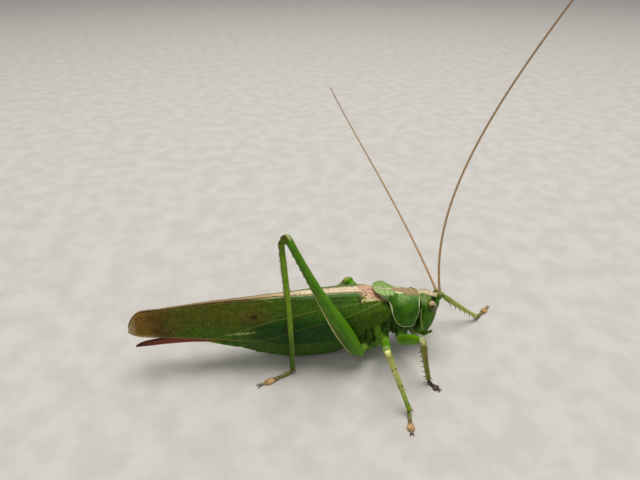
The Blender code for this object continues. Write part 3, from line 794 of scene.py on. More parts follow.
    # the shoulder, and below it a cream wedge over an olive one, closed by a dark knot
    look.paint(look.mix(look.cloud(0.5, 5.0, 0.38, 0.5, rough=0.7), (0.16, 0.06, 0.018), (0.88, 0.54, 0.33)),
               look.fit(along, 0.115, 0.07), look.fit(off, 1.2, 0.8), 0.9)
    wide = look.times(look.fit(along, 0.028, 0.066, 0.002, 0.032), look.fit(along, 0.132, 0.07))
    look.paint(look.mix(look.cloud(0.35, 4.0, 0.4, 0.62, rough=0.7), (0.9, 0.84, 0.46), (0.4, 0.36, 0.05)),
               look.fit(look.plus(look.off(across, 1.0, -0.292), wide, -1.0), 0.01, -0.006),
               look.fit(along, 0.125, 0.095), look.cloud(0.5, 4.0, 0.2, 0.45))
    look.paint((0.1, 0.095, 0.004), look.fit(look.off(across, 1.0, -0.352), 0.034, 0.012),
               look.window(along, 0.0, 0.03, 0.085, 0.125), 0.6)
    knot = look.plus(look.off(along, 44.5, -4.85), look.off(across, 9.0, -2.55))
    look.paint((0.06, 0.018, 0.004), look.fit(look.plus(knot, drift, 5.0), 0.6, 0.2))
    normal = look.bump(look.noise(0.9, 4.0), 0.45, 0.06, look.bump(walls, 0.8, 0.03))
    return look.done(look.cloud(0.8, 4.0, 0.3, 0.7, 0.4, 0.56), normal, Specular_IOR_Level=0.16)


# ---- pronotum ----

SHIELD_GRID = (151, 281)
SHIELD_SKIN = 0.22


def make_pronotum(look):
    """The saddle-shaped neck shield: cream rim, tan middle band, shallow furrows, grained skin."""
    rows, columns = SHIELD_GRID
    share = np.linspace(0, 1, rows)
    row = read_rows(PRONOTUM_ROWS, share)
    posts = [row[:, k:k + 2] * (side, 1) for side, k in ((-1, 6), (-1, 4), (-1, 2))]
    posts += [np.stack([0 * share, row[:, 1]], -1), row[:, 2:4], row[:, 4:6], row[:, 6:8]]
    full, arc, y, z = draped(np.stack(posts), 97, lambda full: full * np.linspace(0, 1, columns))
    wide = abs(y)
    x = column(PRONOTUM_REAR_X + row[:, 0] * PRONOTUM_LENGTH) + 0 * y
    lean = column(rise(0.72, 1.0, share)) * (0.35 + 0.42 * rise(12.2, 11.2, z)) \
        - column(rise(0.45, 0.0, share)) * rise(0.6, 2.15, wide) ** 1.5
    points = np.stack([x - lean, y, z], -1)
    slant = np.gradient(full * 0.5, axis=0) / (PRONOTUM_LENGTH / (rows - 1))
    from_side = np.minimum(arc, full - arc) / np.sqrt(1 + np.clip(slant, -3, 3) ** 2)
    edge = np.minimum(from_side, column(np.minimum(1 - share, share)) * PRONOTUM_LENGTH)
    height = 0.08 * hump(edge, 0.08, 0.07) - 0.04 * hump(edge, 0.26, 0.1)
    for at, bend, deep in ((12.2, 0.35, 0.09), (14.6, -0.25, 0.07), (16.4, -0.1, 0.05)):
        height -= deep * hump(x, at + bend * (wide - 1.5), 0.2) * rise(0.9, 1.5, wide) * rise(8.2, 10.0, z)
    height -= 0.1 * hump(z, 9.4 + 0.22 * (x - 13.0), 0.35) * window(11.6, 13.0, 15.4, 16.6, x)
    height += 0.05 * hump(y, 0.0, 0.1)
    height += 0.028 * waves(x, y, z, 0.9) + 0.02 * waves(x, y, z, 0.45, 3.0)
    height += 0.02 * rise(0.02, 0.1, cells(x, arc, 0.3, 3))
    normal = grid_normals(points, False)
    band_edge = 0.17 + 0.62 * rise(12.5, 13.4, x) + 0.05 * np.sin(x * 2.9)
    tan = rise(band_edge + 0.06 + 0.35 * rise(14.0, 15.5, x), band_edge - 0.05, wide) * rise(10.5, 12.0, z)
    streak = hump(wide, band_edge + 0.02, 0.16) * window(13.1, 13.4, 14.4, 15.0, x)
    carina = rise(0.24, 0.14, wide) * rise(13.2, 12.6, x)
    rim = rise(0.155, 0.07, edge) * (1 - 0.65 * rise(12.7, 13.1, z) * rise(11.8, 11.2, x))
    lobe_line = 13.15 - 0.1 * (wide - 1.5)
    lobe_side = 2.75 - 0.85 * rise(10.7, 11.9, x) - 0.22 * np.maximum(x - 11.9, 0)
    lobe_side += 0.12 * waves(x, y, z, 0.7, 2.0)
    rear_top = rise(13.8, 12.8, x) * rise(-0.2, 0.2, z - lobe_line) * rise(0.25, -0.25, wide - lobe_side) \
        * (1 - 0.35 * rise(0.3, 0.8, y)) * (1 - 0.3 * rise(1.5, 2.3, wide))
    comb = np.sin(x * 14.0 + z * 7.0 + 2.0 * waves(x, y, z, 0.9))
    sheen = rise(11.4, 12.6, z) * rise(12.9, 14.2, x) * (0.4 + 0.12 * comb + 0.24 * waves(x, y, z, 0.7, 7.0))
    top_grey = np.maximum(rear_top * (0.76 + 0.5 * waves(x, y, z, 0.36, 5.0)), sheen)
    beside = 0.5 * hump(wide, 0.3, 0.07) * rise(12.6, 12.0, x)
    beside += 0.6 * rise(2.0, 2.35, wide) * rise(13.0, 12.3, x)
    lobe_edge = hump(z, lobe_line - 0.08, 0.1) * rise(12.9, 12.3, x) * rise(0.9, 1.3, wide)
    marks = {
        "tan": np.maximum(tan, 0.8 * carina) * (1 - 0.5 * streak),
        "pale": np.clip(np.maximum.reduce([rim * (1 - 0.92 * tan), 0.95 * streak, 0.45 * carina]), 0, 1),
        "grey": np.clip(top_grey * (1 - tan), 0, 0.95),
        "dark": np.clip(0.45 * hump(edge, 0.27, 0.08) + beside * rise(13.0, 13.3, z)
                        + 0.34 * tan * rise(0.05, 0.45, waves(x, y * 1.5, z, 0.42, 1.0))
                        + 0.45 * lobe_edge, 0, 0.6),
    }
    net = np.concatenate([points + normal * height[..., None], points - normal * SHIELD_SKIN]).reshape(-1, 3)
    marks = {key: np.tile(value.ravel(), 2) for key, value in marks.items()}
    make_piece("shield", (net, shell_faces(rows, columns, 1)), look, "shield_green", marks, "pronotum")


# ---- trunk ----

SEGMENT_FRONT_X = 6.2
SEGMENT_LENGTH = 2.3
# middle, half axes, lean and painted shade of the side plates of the thorax, front to back
PLATES = (
    ((14.9, 2.15, 8.0), (0.85, 0.7, 2.1), 0.11, 0.52),
    ((13.4, 2.3, 7.6), (0.66, 0.66, 2.7), 0.11, 0.62),
    ((11.65, 2.6, 7.1), (0.76, 0.85, 2.6), 0.03, 0.52),
    ((10.05, 2.75, 6.5), (0.78, 0.88, 2.4), -0.18, 0.0),
    ((8.65, 2.7, 6.0), (0.66, 0.72, 2.3), -0.1, 0.42),
    ((7.15, 2.75, 6.0), (0.72, 0.62, 3.3), 0.11, 0.66),
)


def segment_place(x, z):
    """How far back in its belly segment a point is, from 0 to 1."""
    return (SEGMENT_FRONT_X - x - 0.1 * (z - 6.0)) / SEGMENT_LENGTH % 1


def plate_line(x, z):
    """Height above the lower edge of the back plates, as a share of the trunk's depth."""
    belly, back = (np.interp(x, *np.transpose(TRUNK_ROWS)[[0, k]]) for k in (1, 2))
    return (z - belly) / (back - belly) - 0.27


def belly_plates(x, line):
    """Where the belly is, and where its upper and lower plates are."""
    return rise(6.4, 5.6, x), np.maximum(rise(-0.01, 0.02, line), rise(-0.1, -0.14, line))


def side_plates(x, wide, z):
    """Distance to each side plate of the thorax."""
    return [ellipsoid(x - lean * (z - centre[2]), wide, z, centre, radii)
            for centre, radii, lean, _ in PLATES]


# softness, middle and half axes of the breast plates and the throat, then a rib between the coxae
BREAST = (
    (0.15, (14.4, 1.0, 4.9), (1.1, 0.9, 0.6)),
    (0.15, (11.4, 1.1, 3.3), (1.2, 1.1, 0.65)),
    (0.15, (8.2, 1.2, 2.2), (1.3, 1.2, 0.7)),
    (0.15, (15.2, 1.6, 5.7), (1.1, 1.3, 1.0)),
    (0.15, (15.0, 2.3, 4.9), (0.85, 0.8, 1.25)),
    (0.15, (16.6, 0.9, 6.4), (1.3, 1.4, 1.6)),
    (0.25, (7.6, 3.0, 2.8), (10.8, 3.0, 4.1), 0.8, 0.7),
)


def trunk_field(x, y, z):
    """Thorax, abdomen, neck and the first joints of the legs, in one skin."""
    wide = abs(y)
    _, belly, back, half = read_rows(TRUNK_ROWS, x[:, 0, 0]).T[:, :, None, None]
    middle, tall = (belly + back) / 2, (back - belly) / 2
    radius = ((wide / half) ** 2.15 + (abs(z - middle) / tall) ** 2.15) ** (1 / 2.15)
    field = (radius - 1) * np.minimum(half, tall) + 0.1
    q = segment_place(x, z)
    belly_zone, plates = belly_plates(x, plate_line(x, z))
    field -= belly_zone * plates * (0.02 + 0.08 * q ** 2 - 0.06 * rise(0.18, 0.0, q))
    field += belly_zone * (1 - plates) * (0.04 + 0.02 * np.sin(x * math.tau / 0.42 + z * 2))
    field += belly_zone * 0.03 * waves(x, y, z, 0.8)
    field += 0.05 * rise(16.6, 17.0, x) * np.sin(x * math.tau / 0.45)
    for plate in side_plates(x, wide, z):
        field = join(field, plate, 0.1)
    field = lumps(field, x, wide, z, BREAST)
    for name, (hip, end, knee, *_) in LEGS.items():
        hip, end, knee = (np.array(p) for p in (hip, end, knee))
        near = (abs(x[:, 0, 0] - hip[0]) < 3.4).nonzero()[0]
        part = slice(near[0], near[-1] + 1)
        here = x[part], y[part], z[part]
        inward = hip + (hip - end) * 0.5
        inward[1] = hip[1] * 0.72
        big, slim = 1.0, 0.42
        if name.startswith("hind"):
            big, slim, end = 1.06, 0.37, end + (0.15, 0, 0.5)
        run = unit(knee - end)
        coxa = rod(*here, inward, end, 1.05 * big, 0.62 * big)
        coxa = carve(coxa, ellipsoid(*here, end + run * 0.28, (0.34, 0.34, 0.34)), 0.06)
        coxa = lumps(coxa, *here, ((0.07, end + run * 0.05, end + run * 0.5, slim + 0.02, slim - 0.02),))
        field[part] = join(field[part], coxa, 0.14)
    return field


def make_trunk(look):
    low, high = (TRUNK_ROWS[0][0] - 0.3, -6.0, 0.0), (TRUNK_ROWS[-1][0] + 0.3, 6.0, 13.3)
    net = net_of(trunk_field, low, high, STEP["trunk"])
    x, y, z = net[0].T
    wide = abs(y)
    q = segment_place(x, z)
    line = plate_line(x, z)
    belly_zone, plates = belly_plates(x, line)
    near = np.array(side_plates(x, wide, z))
    plate_shade = np.array([plate[3] for plate in PLATES])[np.argmin(near, 0)]
    nearest, next_one = np.sort(near, 0)[:2]
    side = rise(0.6, 0.2, nearest) * rise(4.0, 3.6, wide)
    # painted shade in the clefts between the side plates; beside it their pale edges, partly their colour
    # and partly a painted highlight
    seam = hump(next_one - nearest, 0, 0.2) * side * rise(0.9, 0.5, next_one)
    lip = hump(next_one - nearest, 0.3, 0.12) * side
    leg_root = rise(3.3, 4.2, wide) * rise(0.3, 0.0, abs(waves(x, y, z, 1.1)))
    # a darker throat, partly its colour and partly painted shade under the shield and the head
    throat = rise(17.3, 17.9, x) * rise(10.6, 9.0, z)
    # painted shade on each side plate, as PLATES gives, and under the front of the shield
    shade = np.maximum(plate_shade * rise(5.4, 6.2, x) * rise(4.2, 3.7, wide) * rise(9.8, 9.0, z),
                       0.42 * rise(12.3, 12.8, x) * rise(8.6, 7.6, z) * rise(4.4, 3.7, wide))
    ridge = hump(rod(x, 0 * z, z, (7.0, 0, 4.9), (8.8, 0, 2.9), 0, 0), 0, 0.2) * rise(2.8, 3.2, wide)
    stripe = hump(line + 0.27, 0.07, 0.018) * rise(0.35, 0.6, q)
    # paler coxae: painted light where they get little light
    coxae = rise(3.5, 4.3, wide) * (1 - 0.65 * rise(8.6, 7.8, x))
    breathing_hole = np.hypot((q - 0.35) * SEGMENT_LENGTH / 0.16, (line - 0.035) * 11 / 0.22) < 1
    marks = {
        # grey: the abdomen painted darker, as painted shade under the wings, less so at the back of each
        # segment
        "grey": belly_zone * (0.74 - 0.25 * rise(0.8, 0.95, q) * plates),
        # pale: belly stripes and segment edges, the plates' pale edges and a ridge, painted light on the
        # coxae, and a painted highlight on the plate with no painted shade
        "pale": np.clip(belly_zone * (0.1 * rise(0.86, 0.97, q) * plates + 0.18 * stripe) + 0.62 * coxae
                        + 0.15 * leg_root + 0.5 * (lip + ridge) + 0.22 * side * (plate_shade == 0), 0, 0.9),
        "tan": 0.7 * rise(9.5, 10.8, z) * belly_zone * rise(1.6, 0.8, wide),
        # dark: the front of each belly segment and the breathing holes, an even painted shade over the
        # abdomen, and painted shade in the clefts, at the throat and on the plates
        "dark": np.clip(belly_zone * (0.4 * rise(0.14, 0.0, q) * plates + 0.12 + 0.5 * breathing_hole)
                        + 0.95 * seam + 0.45 * throat + shade, 0, 0.95),
    }
    make_piece("trunk_skin", net, look, "body_green", marks, "thorax", "abdomen", "neck",
               *("coxa_" + name for name in LEGS))


# ---- head ----

def gena_line(z):
    """X of the pale rear edge of the cheek."""
    return np.interp(z, (4.65, 5.98, 7.93, 9.81, 11.0), (18.8, 18.48, 18.12, 17.95, 17.85))


def eye_axes(wide, z):
    """Distances outward from the eye's middle and up its cheek."""
    out, up = wide - EYE_CENTRE[1], z - EYE_CENTRE[2]
    c, s = math.cos(EYE_TILT), math.sin(EYE_TILT)
    return out * c + up * s, up * c - out * s


# softness, middle and half axes of the face and cheeks, then of the pale rear edge's rod
CHEEKS = (
    (0.3, (21.2, 0, 9.9), (0.72, 1.15, 1.1)),
    (0.35, (19.3, 1.75, 6.6), (0.95, 0.62, 2.4)),
    (0.12, (18.05, 2.1, 9.6), (18.85, 1.35, 4.7), 0.17, 0.14),
)


def head_field(x, y, z):
    """Head capsule: brow, cheeks, eye rims and sockets, feeler sockets, face seams."""
    wide = abs(y)
    _, back, face, half = read_rows(HEAD_ROWS, z[0, 0]).T
    middle, deep = (back + face) / 2, (face - back) / 2
    power = np.where(x < middle, 3.0, 2.15)
    radius = ((abs(x - middle) / deep) ** power + (wide / half) ** power) ** (1 / power)
    field = (radius - 1) * np.minimum(deep, half)
    for cut in ((12.3 - 0.3 * (x - 18.3) - z) * 0.95, z - 3.35):
        field = -join(-field, cut, 0.25)
    field = lumps(field, x, y, z, ((0.25, (17.95, 0, 10.2), (0.5, 2.34, 1.95)),))
    field = lumps(field, x, y * 0.85, z, ((0.2, (20.5, 0, 11.42), (21.82, 0, 11.08), 0.34, 0.26),))
    field = lumps(field, x, wide, z, CHEEKS)
    out, up = eye_axes(wide, z)
    field = lumps(field, x, out, up, ((0.15, (EYE_CENTRE[0], -0.38, 0), (0.96, 0.5, 1.16)),))
    field = lumps(field, x, wide, z, ((0.12, (21.62, 0.8, 11.02), (0.5, 0.46, 0.46)),))
    field = carve(field, ellipsoid(x, wide, z, (21.75, 0.8, 11.5), (0.34, 0.34, 0.34)), 0.05)
    field = carve(field, ellipsoid(x, out, up, (EYE_CENTRE[0], 0, 0), [r + 0.03 for r in EYE_RADII]), 0.05)
    front = rise(0.1, 0.6, x - middle)
    field += 0.07 * hump(z, 4.95 + 0.12 * wide, 0.1) * front * rise(1.7, 1.3, wide)
    field += 0.06 * hump(wide, 1.3 - 0.02 * (z - 5), 0.09) * front * window(4.6, 5.2, 9.0, 10.2, z)
    cheek = rise(1.1, 1.6, wide) * window(4.2, 5.0, 9.0, 9.5, z)
    field += 0.06 * hump(x, 20.35 - 0.1 * (9.0 - z), 0.1) * cheek
    field += 0.06 * hump(x - gena_line(z), 0.38, 0.1) * rise(1.0, 1.5, wide) * rise(10.9, 10.0, z)
    return field + 0.012 * waves(x, y, z, 0.5)


# name; path on the left side; radius at each of its joints
PALPS = (
    ("maxillary_palp", ((18.5, 1.1, 4.3), (18.75, 1.45, 3.65), (19.35, 1.7, 3.3), (20.1, 1.75, 3.65),
                        (20.95, 1.7, 4.15)), (0.27, 0.25, 0.24, 0.22, 0.27)),
    ("labial_palp", ((18.1, 0.7, 3.9), (17.8, 1.0, 3.5), (17.85, 1.2, 3.0), (18.2, 1.25, 2.6)),
     (0.21, 0.2, 0.2, 0.24)),
)


def make_capsule(look):
    net = net_of(head_field, (17.3, -3.0, 3.1), (22.6, 3.0, 12.6), STEP["head"])
    x, y, z = net[0].T
    wide = abs(y)
    half = np.interp(x, (18.0, 19.0, 20.2, 21.0), (0.5, 0.58, 0.86, 0.75)) + 0.1 * waves(x, y, z, 0.5, 4.0)
    crown = rise(half + 0.14, half - 0.12, wide) * rise(11.1, 11.4, z)
    brow = rise(0.55, 0.38, wide) * rise(20.3, 20.8, x) * rise(10.65, 10.9, z)
    rear_line = hump(x, gena_line(z) + 0.08, 0.12) * rise(1.0, 1.4, wide) * rise(10.4, 9.4, z)
    face_line = hump(wide, 1.62 - 0.02 * (z - 5), 0.13) * rise(19.9, 20.4, x) * rise(9.0, 8.0, z)
    # painted sheen: grey-green behind each eye
    sheen_behind_eye = window(17.9, 18.2, 18.7, 19.5, x) * rise(10.3, 11.3, z) * rise(0.7, 1.1, wide)
    lime = hump(x, 19.65, 0.45) * hump(z, 11.65, 0.32) * rise(0.9, 1.2, wide)
    above_eye = np.hypot((x - 20.6) / 0.52, (z - 11.5) / 0.42) + 0.3 * waves(x, y, z, 0.3, 2.0)
    above_eye = rise(1.3, 0.95, above_eye) * rise(0.78, 1.0, wide)
    socket = hump(np.hypot(x - 21.75, wide - 0.8), 0.5, 0.12) * rise(10.9, 11.2, z)
    marks = {
        "tan": np.maximum(crown, brow) * (1 - above_eye) * (0.8 + 0.34 * waves(x, y, z, 0.36, 9.0)),
        # grey: painted sheen behind the eyes and over the top of the head, kept off the lime patch
        "grey": np.clip(sheen_behind_eye + 0.5 * rise(11.0, 11.5, z) * (1 - crown) - 0.9 * lime, 0, 1),
        "pale": np.clip(0.8 * rear_line + 0.8 * face_line + 0.3 * rise(4.4, 3.8, z) + 0.4 * lime
                        + 0.4 * brow * hump(x, 21.6, 0.3), 0, 0.9),
        "dark": np.clip(1.3 * above_eye + 0.5 * socket + 0.5 * rise(18.15, 17.9, x) * rise(11.6, 11.2, z)
                        + 0.3 * rise(0.35, 0.6, waves(x, y, z, 0.42, 6.0)) * crown, 0, 1),
    }
    make_piece("head_capsule", net, look, "body_green", marks, "head")


def make_palps(side, word, look):
    count, sides = 90, 20
    share = np.linspace(0, 1, count)
    for name, path, radii in PALPS:
        path = on_curve([(a, side * b, c) for a, b, c in path], np.linspace(0, len(path) - 1, count))
        joints = abs((share * (len(radii) - 1)) % 1 - 0.5) * 2
        radius = np.interp(share, np.linspace(0, 1, len(radii)), radii) * (1 - 0.3 * joints ** 8)
        radius = radius * round_ends(share, 0.0, 0.06)
        tube = Tube(path, radius, radius, (0, 1, 0), sides)
        marks = {"pale": column(0.4 * rise(0.9, 0.97, share) + 0.3 * joints ** 6) + 0 * tube.level,
                 "dark": column(0.55 * hump(share, 0.86, 0.04)) + 0 * tube.level}
        make_piece(name + "_" + word, tube.build(), look, "body_green", marks, name + "_" + word)


def make_head(look, eye, mouth):
    """Capsule, eyes, lips, jaws and palps."""
    make_capsule(look)
    for side, word in SIDES:
        make_eye(side, word, eye)

        def jaw(x, y, z):
            tooth = ellipsoid(x, y, z, (19.75, side * 0.96, 3.75), (0.7, 0.58, 0.95))
            return lumps(tooth, x, y, z, ((0.2, (19.85, side * 0.6, 3.0), (0.42, 0.4, 0.5)),
                                          (0.1, (18.75, side * 1.05, 4.4), (0.62, 0.42, 1.0))))

        net = net_of(jaw, (17.9, min(0, 2 * side), 2.3), (20.9, max(0, 2 * side), 5.6), STEP["jaw"])
        z = net[0][:, 2]
        marks = {"tan": rise(3.4, 2.9, z), "dark": 0.9 * rise(3.0, 2.65, z)}
        make_piece("jaw_" + word, net, mouth, "body_green", marks, "mandible_" + word)
        make_palps(side, word, mouth)

    def upper(x, y, z):
        lip = ellipsoid(x, y, z, (20.15, 0, 3.35), (0.27, 0.8, 0.75))
        return carve(lip, ellipsoid(x, y, z, (20.2, 0, 2.55), (0.5, 0.16, 0.22)), 0.1)

    net = net_of(upper, (19.6, -1.1, 2.3), (20.7, 1.1, 4.3), STEP["upper_lip"])
    make_piece("upper_lip", net, mouth, "body_green", {"pale": 0.5 * rise(3.3, 2.7, net[0][:, 2])}, "labrum")

    def lower(x, y, z):
        lip = ellipsoid(x, y, z, (18.2, 0, 4.0), (0.65, 1.0, 1.4))
        return lumps(lip, x, abs(y), z, ((0.2, (17.2, 0, 5.2), (0.9, 1.15, 0.9)),
                                         (0.06, (16.6, 1.45, 5.3), (17.6, 1.3, 3.45), 0.55, 0.46),
                                         (0.08, (18.8, 0.75, 3.3), (0.5, 0.4, 0.75))))

    net = net_of(lower, (15.9, -2.2, 2.3), (19.6, 2.2, 6.3), STEP["lower_lip"])
    x, y, z = net[0].T
    marks = {"pale": 0.1 + 0.35 * rise(3.9, 3.3, z),
             "dark": np.clip(0.6 * rise(4.0, 5.2, z) + 0.8 * hump(abs(y), 0.86, 0.1), 0, 0.85)}
    make_piece("lower_lip", net, mouth, "body_green", marks, "labium")


def make_eye(side, word, look):
    """A glossy bulging eye: beige above, brown below, a dark glint spot toward the side."""
    rows, columns = 49, 72
    angle = np.linspace(0.04, math.pi - 0.04, rows)
    c, t = math.cos(EYE_TILT), math.sin(EYE_TILT)
    centre = np.array(EYE_CENTRE) * (1, side, 1)
    outward, upward = np.array((0, side * c, t)), np.array((0, -side * t, c))
    path = centre - column(np.cos(angle)) * EYE_RADII[1] * outward
    tube = Tube(path, EYE_RADII[2] * np.sin(angle), EYE_RADII[0] * np.sin(angle), (1, 0, 0), columns)
    place = tube.points.reshape(-1, 3) - centre
    ahead, out, up = (place @ way / radius for way, radius in zip(((1, 0, 0), outward, upward), EYE_RADII))
    marks = {
        "low": rise(0.5, -0.2, up + 0.3 * ahead),
        "spot": hump(up - 0.12 * ahead, 0.05, 0.2) * hump(ahead, -0.12, 0.46) * rise(0.1, 0.5, out),
        # rim: painted shade round the eye's edge where it sits in its socket
        "rim": rise(0.3, 0.1, out),
    }
    make_piece("eyeball_" + word, tube.build(), look, "eye_beige", marks, "eye_" + word)


def eye_look():
    look = Look("eye")
    look.colour = look.mix(look.cloud(0.3, 3.0, 0.35, 0.65), (0.52, 0.39, 0.17), (0.66, 0.52, 0.26))
    look.paint((0.092, 0.084, 0.006), look.mark("low"))
    blotch = look.plus(look.mark("spot"), look.cloud(0.35, 3.0, 0.3, 0.7, -0.35, 0.35))
    look.paint((0.03, 0.014, 0.006), look.fit(blotch, 0.25, 0.75), 0.88)
    # painted shade round the eye's edge
    look.paint((0.045, 0.045, 0.01), look.mark("rim"), 0.75)
    facets = look.cell(0.045)
    look.shade(look.fit(facets, 0.2, 0.6, 1.05, 0.82))
    return look.done(0.22, look.bump(facets, 0.5, 0.008), Specular_IOR_Level=0.4, Coat_Weight=0.12,
                     Coat_Roughness=0.1)


# ---- feelers ----

SCAPE_BASE = (21.75, 0.8, 11.25)


def make_feeler(word, scape_look, thread_look):
    """Scape, pedicel and one long thread of some two hundred rings that thins to its tip."""
    curve = FEELERS[word]
    root = np.array(SCAPE_BASE) * (1, math.copysign(1, curve[0][1]), 1)
    share = np.linspace(0, 1, 60)
    radius = np.interp(share, (0, 0.1, 0.35, 0.62, 0.68, 0.72, 0.85, 1.0),
                       (0.24, 0.34, 0.39, 0.34, 0.24, 0.28, 0.3, 0.24))
    path = root + (bezier(curve, 0.0) + (0, 0, 0.12) - root) * column(share)
    marks = {"dark": 0.5 * hump(share, 0.68, 0.03), "tan": 0.9 * rise(0.42, 0.62, share),
             "pale": 0.4 * hump(share, 0.62, 0.05)}
    marks = {key: np.repeat(value, 28) for key, value in marks.items()}
    tube = Tube(path, radius, radius, (0, 1, 0), 28)
    make_piece("feeler_root_" + word, tube.build(), scape_look, "body_green", marks, "scape_" + word)

    fine = bezier(curve, np.linspace(0, 1, 400))
    length = running(fine)
    ring_ends = [0.0]
    while ring_ends[-1] < length[-1]:
        ring_ends.append(ring_ends[-1] + 0.17 + 0.24 * ring_ends[-1] / length[-1])
    ring_ends[-1] = length[-1]
    places = [a + (b - a) * part for a, b in zip(ring_ends, ring_ends[1:]) for part in (0.0, 0.2, 0.85)]
    rings = len(ring_ends) - 1
    reach = np.array(places) / length[-1]
    path = np.stack([np.interp(places, length, fine[:, k]) for k in range(3)], -1)
    radius = (0.215 - 0.11 * reach ** 0.8) * np.tile((0.86, 1.0, 1.04), rings)
    radius[-1] *= 0.4
    marks = {
        "joint": np.tile((1.0, 0.0, 0.0), rings),
        "reach": reach,
        "tone": scatter(np.repeat(np.arange(rings), 3), 0 * reach, 2),
    }
    marks = {key: np.repeat(value, 10) for key, value in marks.items()}
    tube = Tube(path, radius, radius, (0.9, 0.1, 0.2), 10)
    make_piece("feeler_" + word, tube.build(), thread_look, "feeler_tan", marks,
               *("antenna_{}_{}".format(word, part) for part in ("base", "middle", "tip")))


def feeler_look():
    look = Look("feeler")
    look.colour = look.ramp(look.mark("reach"), ((0.0, (0.76, 0.44, 0.2)), (0.35, (0.66, 0.42, 0.2)),
                                                 (1.0, (0.42, 0.28, 0.17))))
    # painted shade: the thread's faces turned toward +X are painted darker brown, the other side stays
    # lighter
    facing_x = look.node("ShaderNodeSeparateXYZ", {0: look.node("ShaderNodeNewGeometry", {}, "Normal")})
    look.paint((0.2, 0.085, 0.03), look.fit(facing_x, 0.2, 0.8), 0.75)
    look.paint((0.24, 0.13, 0.05), look.mark("tone"), 0.25)
    look.paint((0.2, 0.1, 0.035), look.mark("joint"), 0.4)
    return look.done(0.45, look.bump(look.noise(0.08, 3.0), 0.4, 0.01), Specular_IOR_Level=0.4)


# ---- legs ----

# share of the length, half height, half thickness
FEMUR_PROFILE = {
    "fore": ((0, 0.5, 0.44), (0.05, 0.76, 0.58), (0.12, 0.92, 0.68), (0.35, 0.96, 0.7), (0.7, 0.84, 0.6),
             (0.88, 0.64, 0.5), (0.95, 0.64, 0.52), (1, 0.52, 0.46)),
    "mid": ((0, 0.44, 0.42), (0.06, 0.66, 0.6), (0.14, 0.8, 0.72), (0.4, 0.84, 0.76), (0.75, 0.72, 0.66),
            (0.88, 0.62, 0.58), (0.95, 0.74, 0.7), (1, 0.6, 0.6)),
    "hind": ((0, 0.66, 0.45), (0.03, 1.14, 0.7), (0.08, 1.4, 0.86), (0.14, 1.48, 0.93), (0.22, 1.52, 0.95),
             (0.33, 1.37, 0.92), (0.45, 1.1, 0.82), (0.58, 0.85, 0.66), (0.72, 0.69, 0.54),
             (0.84, 0.61, 0.46), (0.92, 0.6, 0.45), (0.965, 0.6, 0.46), (1, 0.54, 0.42)),
}
TIBIA_PROFILE = {
    "fore": ((0, 0.4, 0.34), (0.06, 0.46, 0.4), (0.1, 0.44, 0.4), (0.15, 0.54, 0.48), (0.2, 0.58, 0.5),
             (0.27, 0.52, 0.46), (0.35, 0.48, 0.43), (0.7, 0.4, 0.36), (0.94, 0.37, 0.35), (1, 0.38, 0.37)),
    "mid": ((0, 0.42, 0.4), (0.06, 0.5, 0.48), (0.13, 0.45, 0.42), (0.4, 0.4, 0.37), (0.8, 0.3, 0.29),
            (0.95, 0.31, 0.3), (1, 0.34, 0.33)),
    "hind": ((0, 0.42, 0.36), (0.03, 0.5, 0.4), (0.07, 0.46, 0.38), (0.14, 0.48, 0.38), (0.3, 0.47, 0.37),
             (0.7, 0.43, 0.34), (0.94, 0.4, 0.33), (0.98, 0.46, 0.38), (1, 0.42, 0.36)),
}
CHEVRON_PITCH = 0.57
# how pale a shin is at five places from its knee to its foot, partly its colour and partly a painted
# highlight
SHIN_PALE_AND_HIGHLIGHT = {
    "fore": (0.4, 0.35, 0.06, 0.03, 0.0),
    "fore_left": (0.0, 0.0, 0.15, 0.25, 0.45),
    "mid": (1.0, 0.85, 0.3, 0.6, 0.0),
    "mid_left": (0.25, 0.2, 0.2, 0.25, 0.15),
    "hind": (0.0, 0.0, 0.0, 0.0, 0.0),
}
SHIN_BROWN = {"fore": 0.4, "fore_left": 0.06, "mid": 0.06, "hind": 0.0}
STOUT = {"mid_left": 1.35}        # how much thicker than its kind a leg is
STOUT_SHIN = {"mid_left": 1.35, "mid_right": 1.32, "fore_right": 1.12}    # and a shin
FEMUR_BOW = {"fore": 0.25, "mid": 0.25, "hind": -0.38}
KNEE_OFFSET = {"fore": 0.19, "mid": 0.19, "hind": 1.15}    # thigh's end beside the knee's joint
KNEE_REACH = {"fore": 0.1, "mid": 0.1, "hind": 0.42}     # and beyond it
SHIN_BOW = {"fore": 0.1, "mid": 0.12, "hind": 0.22}
LOBE_DROP = {"fore": 0.22, "mid": 0.52, "hind": 0.7}      # how far the knee lobes hang
LOBE_PALE = {"fore": 0.7, "mid": 0.3, "hind": 0.0}
TIP_PALE_AND_HIGHLIGHT = {"fore": 0.75, "mid": 0.3}                     # how pale the thigh's end is, partly its colour and partly a painted highlight
FOOT_RED = {"fore_right": 0.92}
HAIR_COUNT = 260                  # short hairs on each shin
PATCH = 0.003                     # size of a tuft's patch on the OFBake map
# spines of each shin: first and last share, how many, side (1 under, -1 back), length
SPINES = {
    "fore": ((0.3, 0.95, 6, 1, 0.8),),
    "mid": ((0.25, 0.95, 6, 1, 0.65), (0.3, 0.85, 3, -1, 0.5)),
    "mid_left": ((0.5, 0.95, 4, 1, 0.65), (0.55, 0.85, 2, -1, 0.5)),
    "hind": ((0.09, 0.97, 25, -1, 0.42), (0.35, 0.95, 9, 1, 0.36)),
}


def unit(v):
    return v / np.linalg.norm(v)


def leg_frame(name):
    """A leg's kind, its joints, and the ways of its thigh, its shin, its knee's axle and its underside."""
    coxa_end, knee, ankle, toe = (np.array(p, float) for p in LEGS[name][1:])
    run, down = unit(knee - coxa_end), unit(ankle - knee)
    across = unit(np.cross(knee - coxa_end, ankle - knee))
    return name.split("_")[0], coxa_end, knee, ankle, toe, run, down, across, unit(down - run * (down @ run))


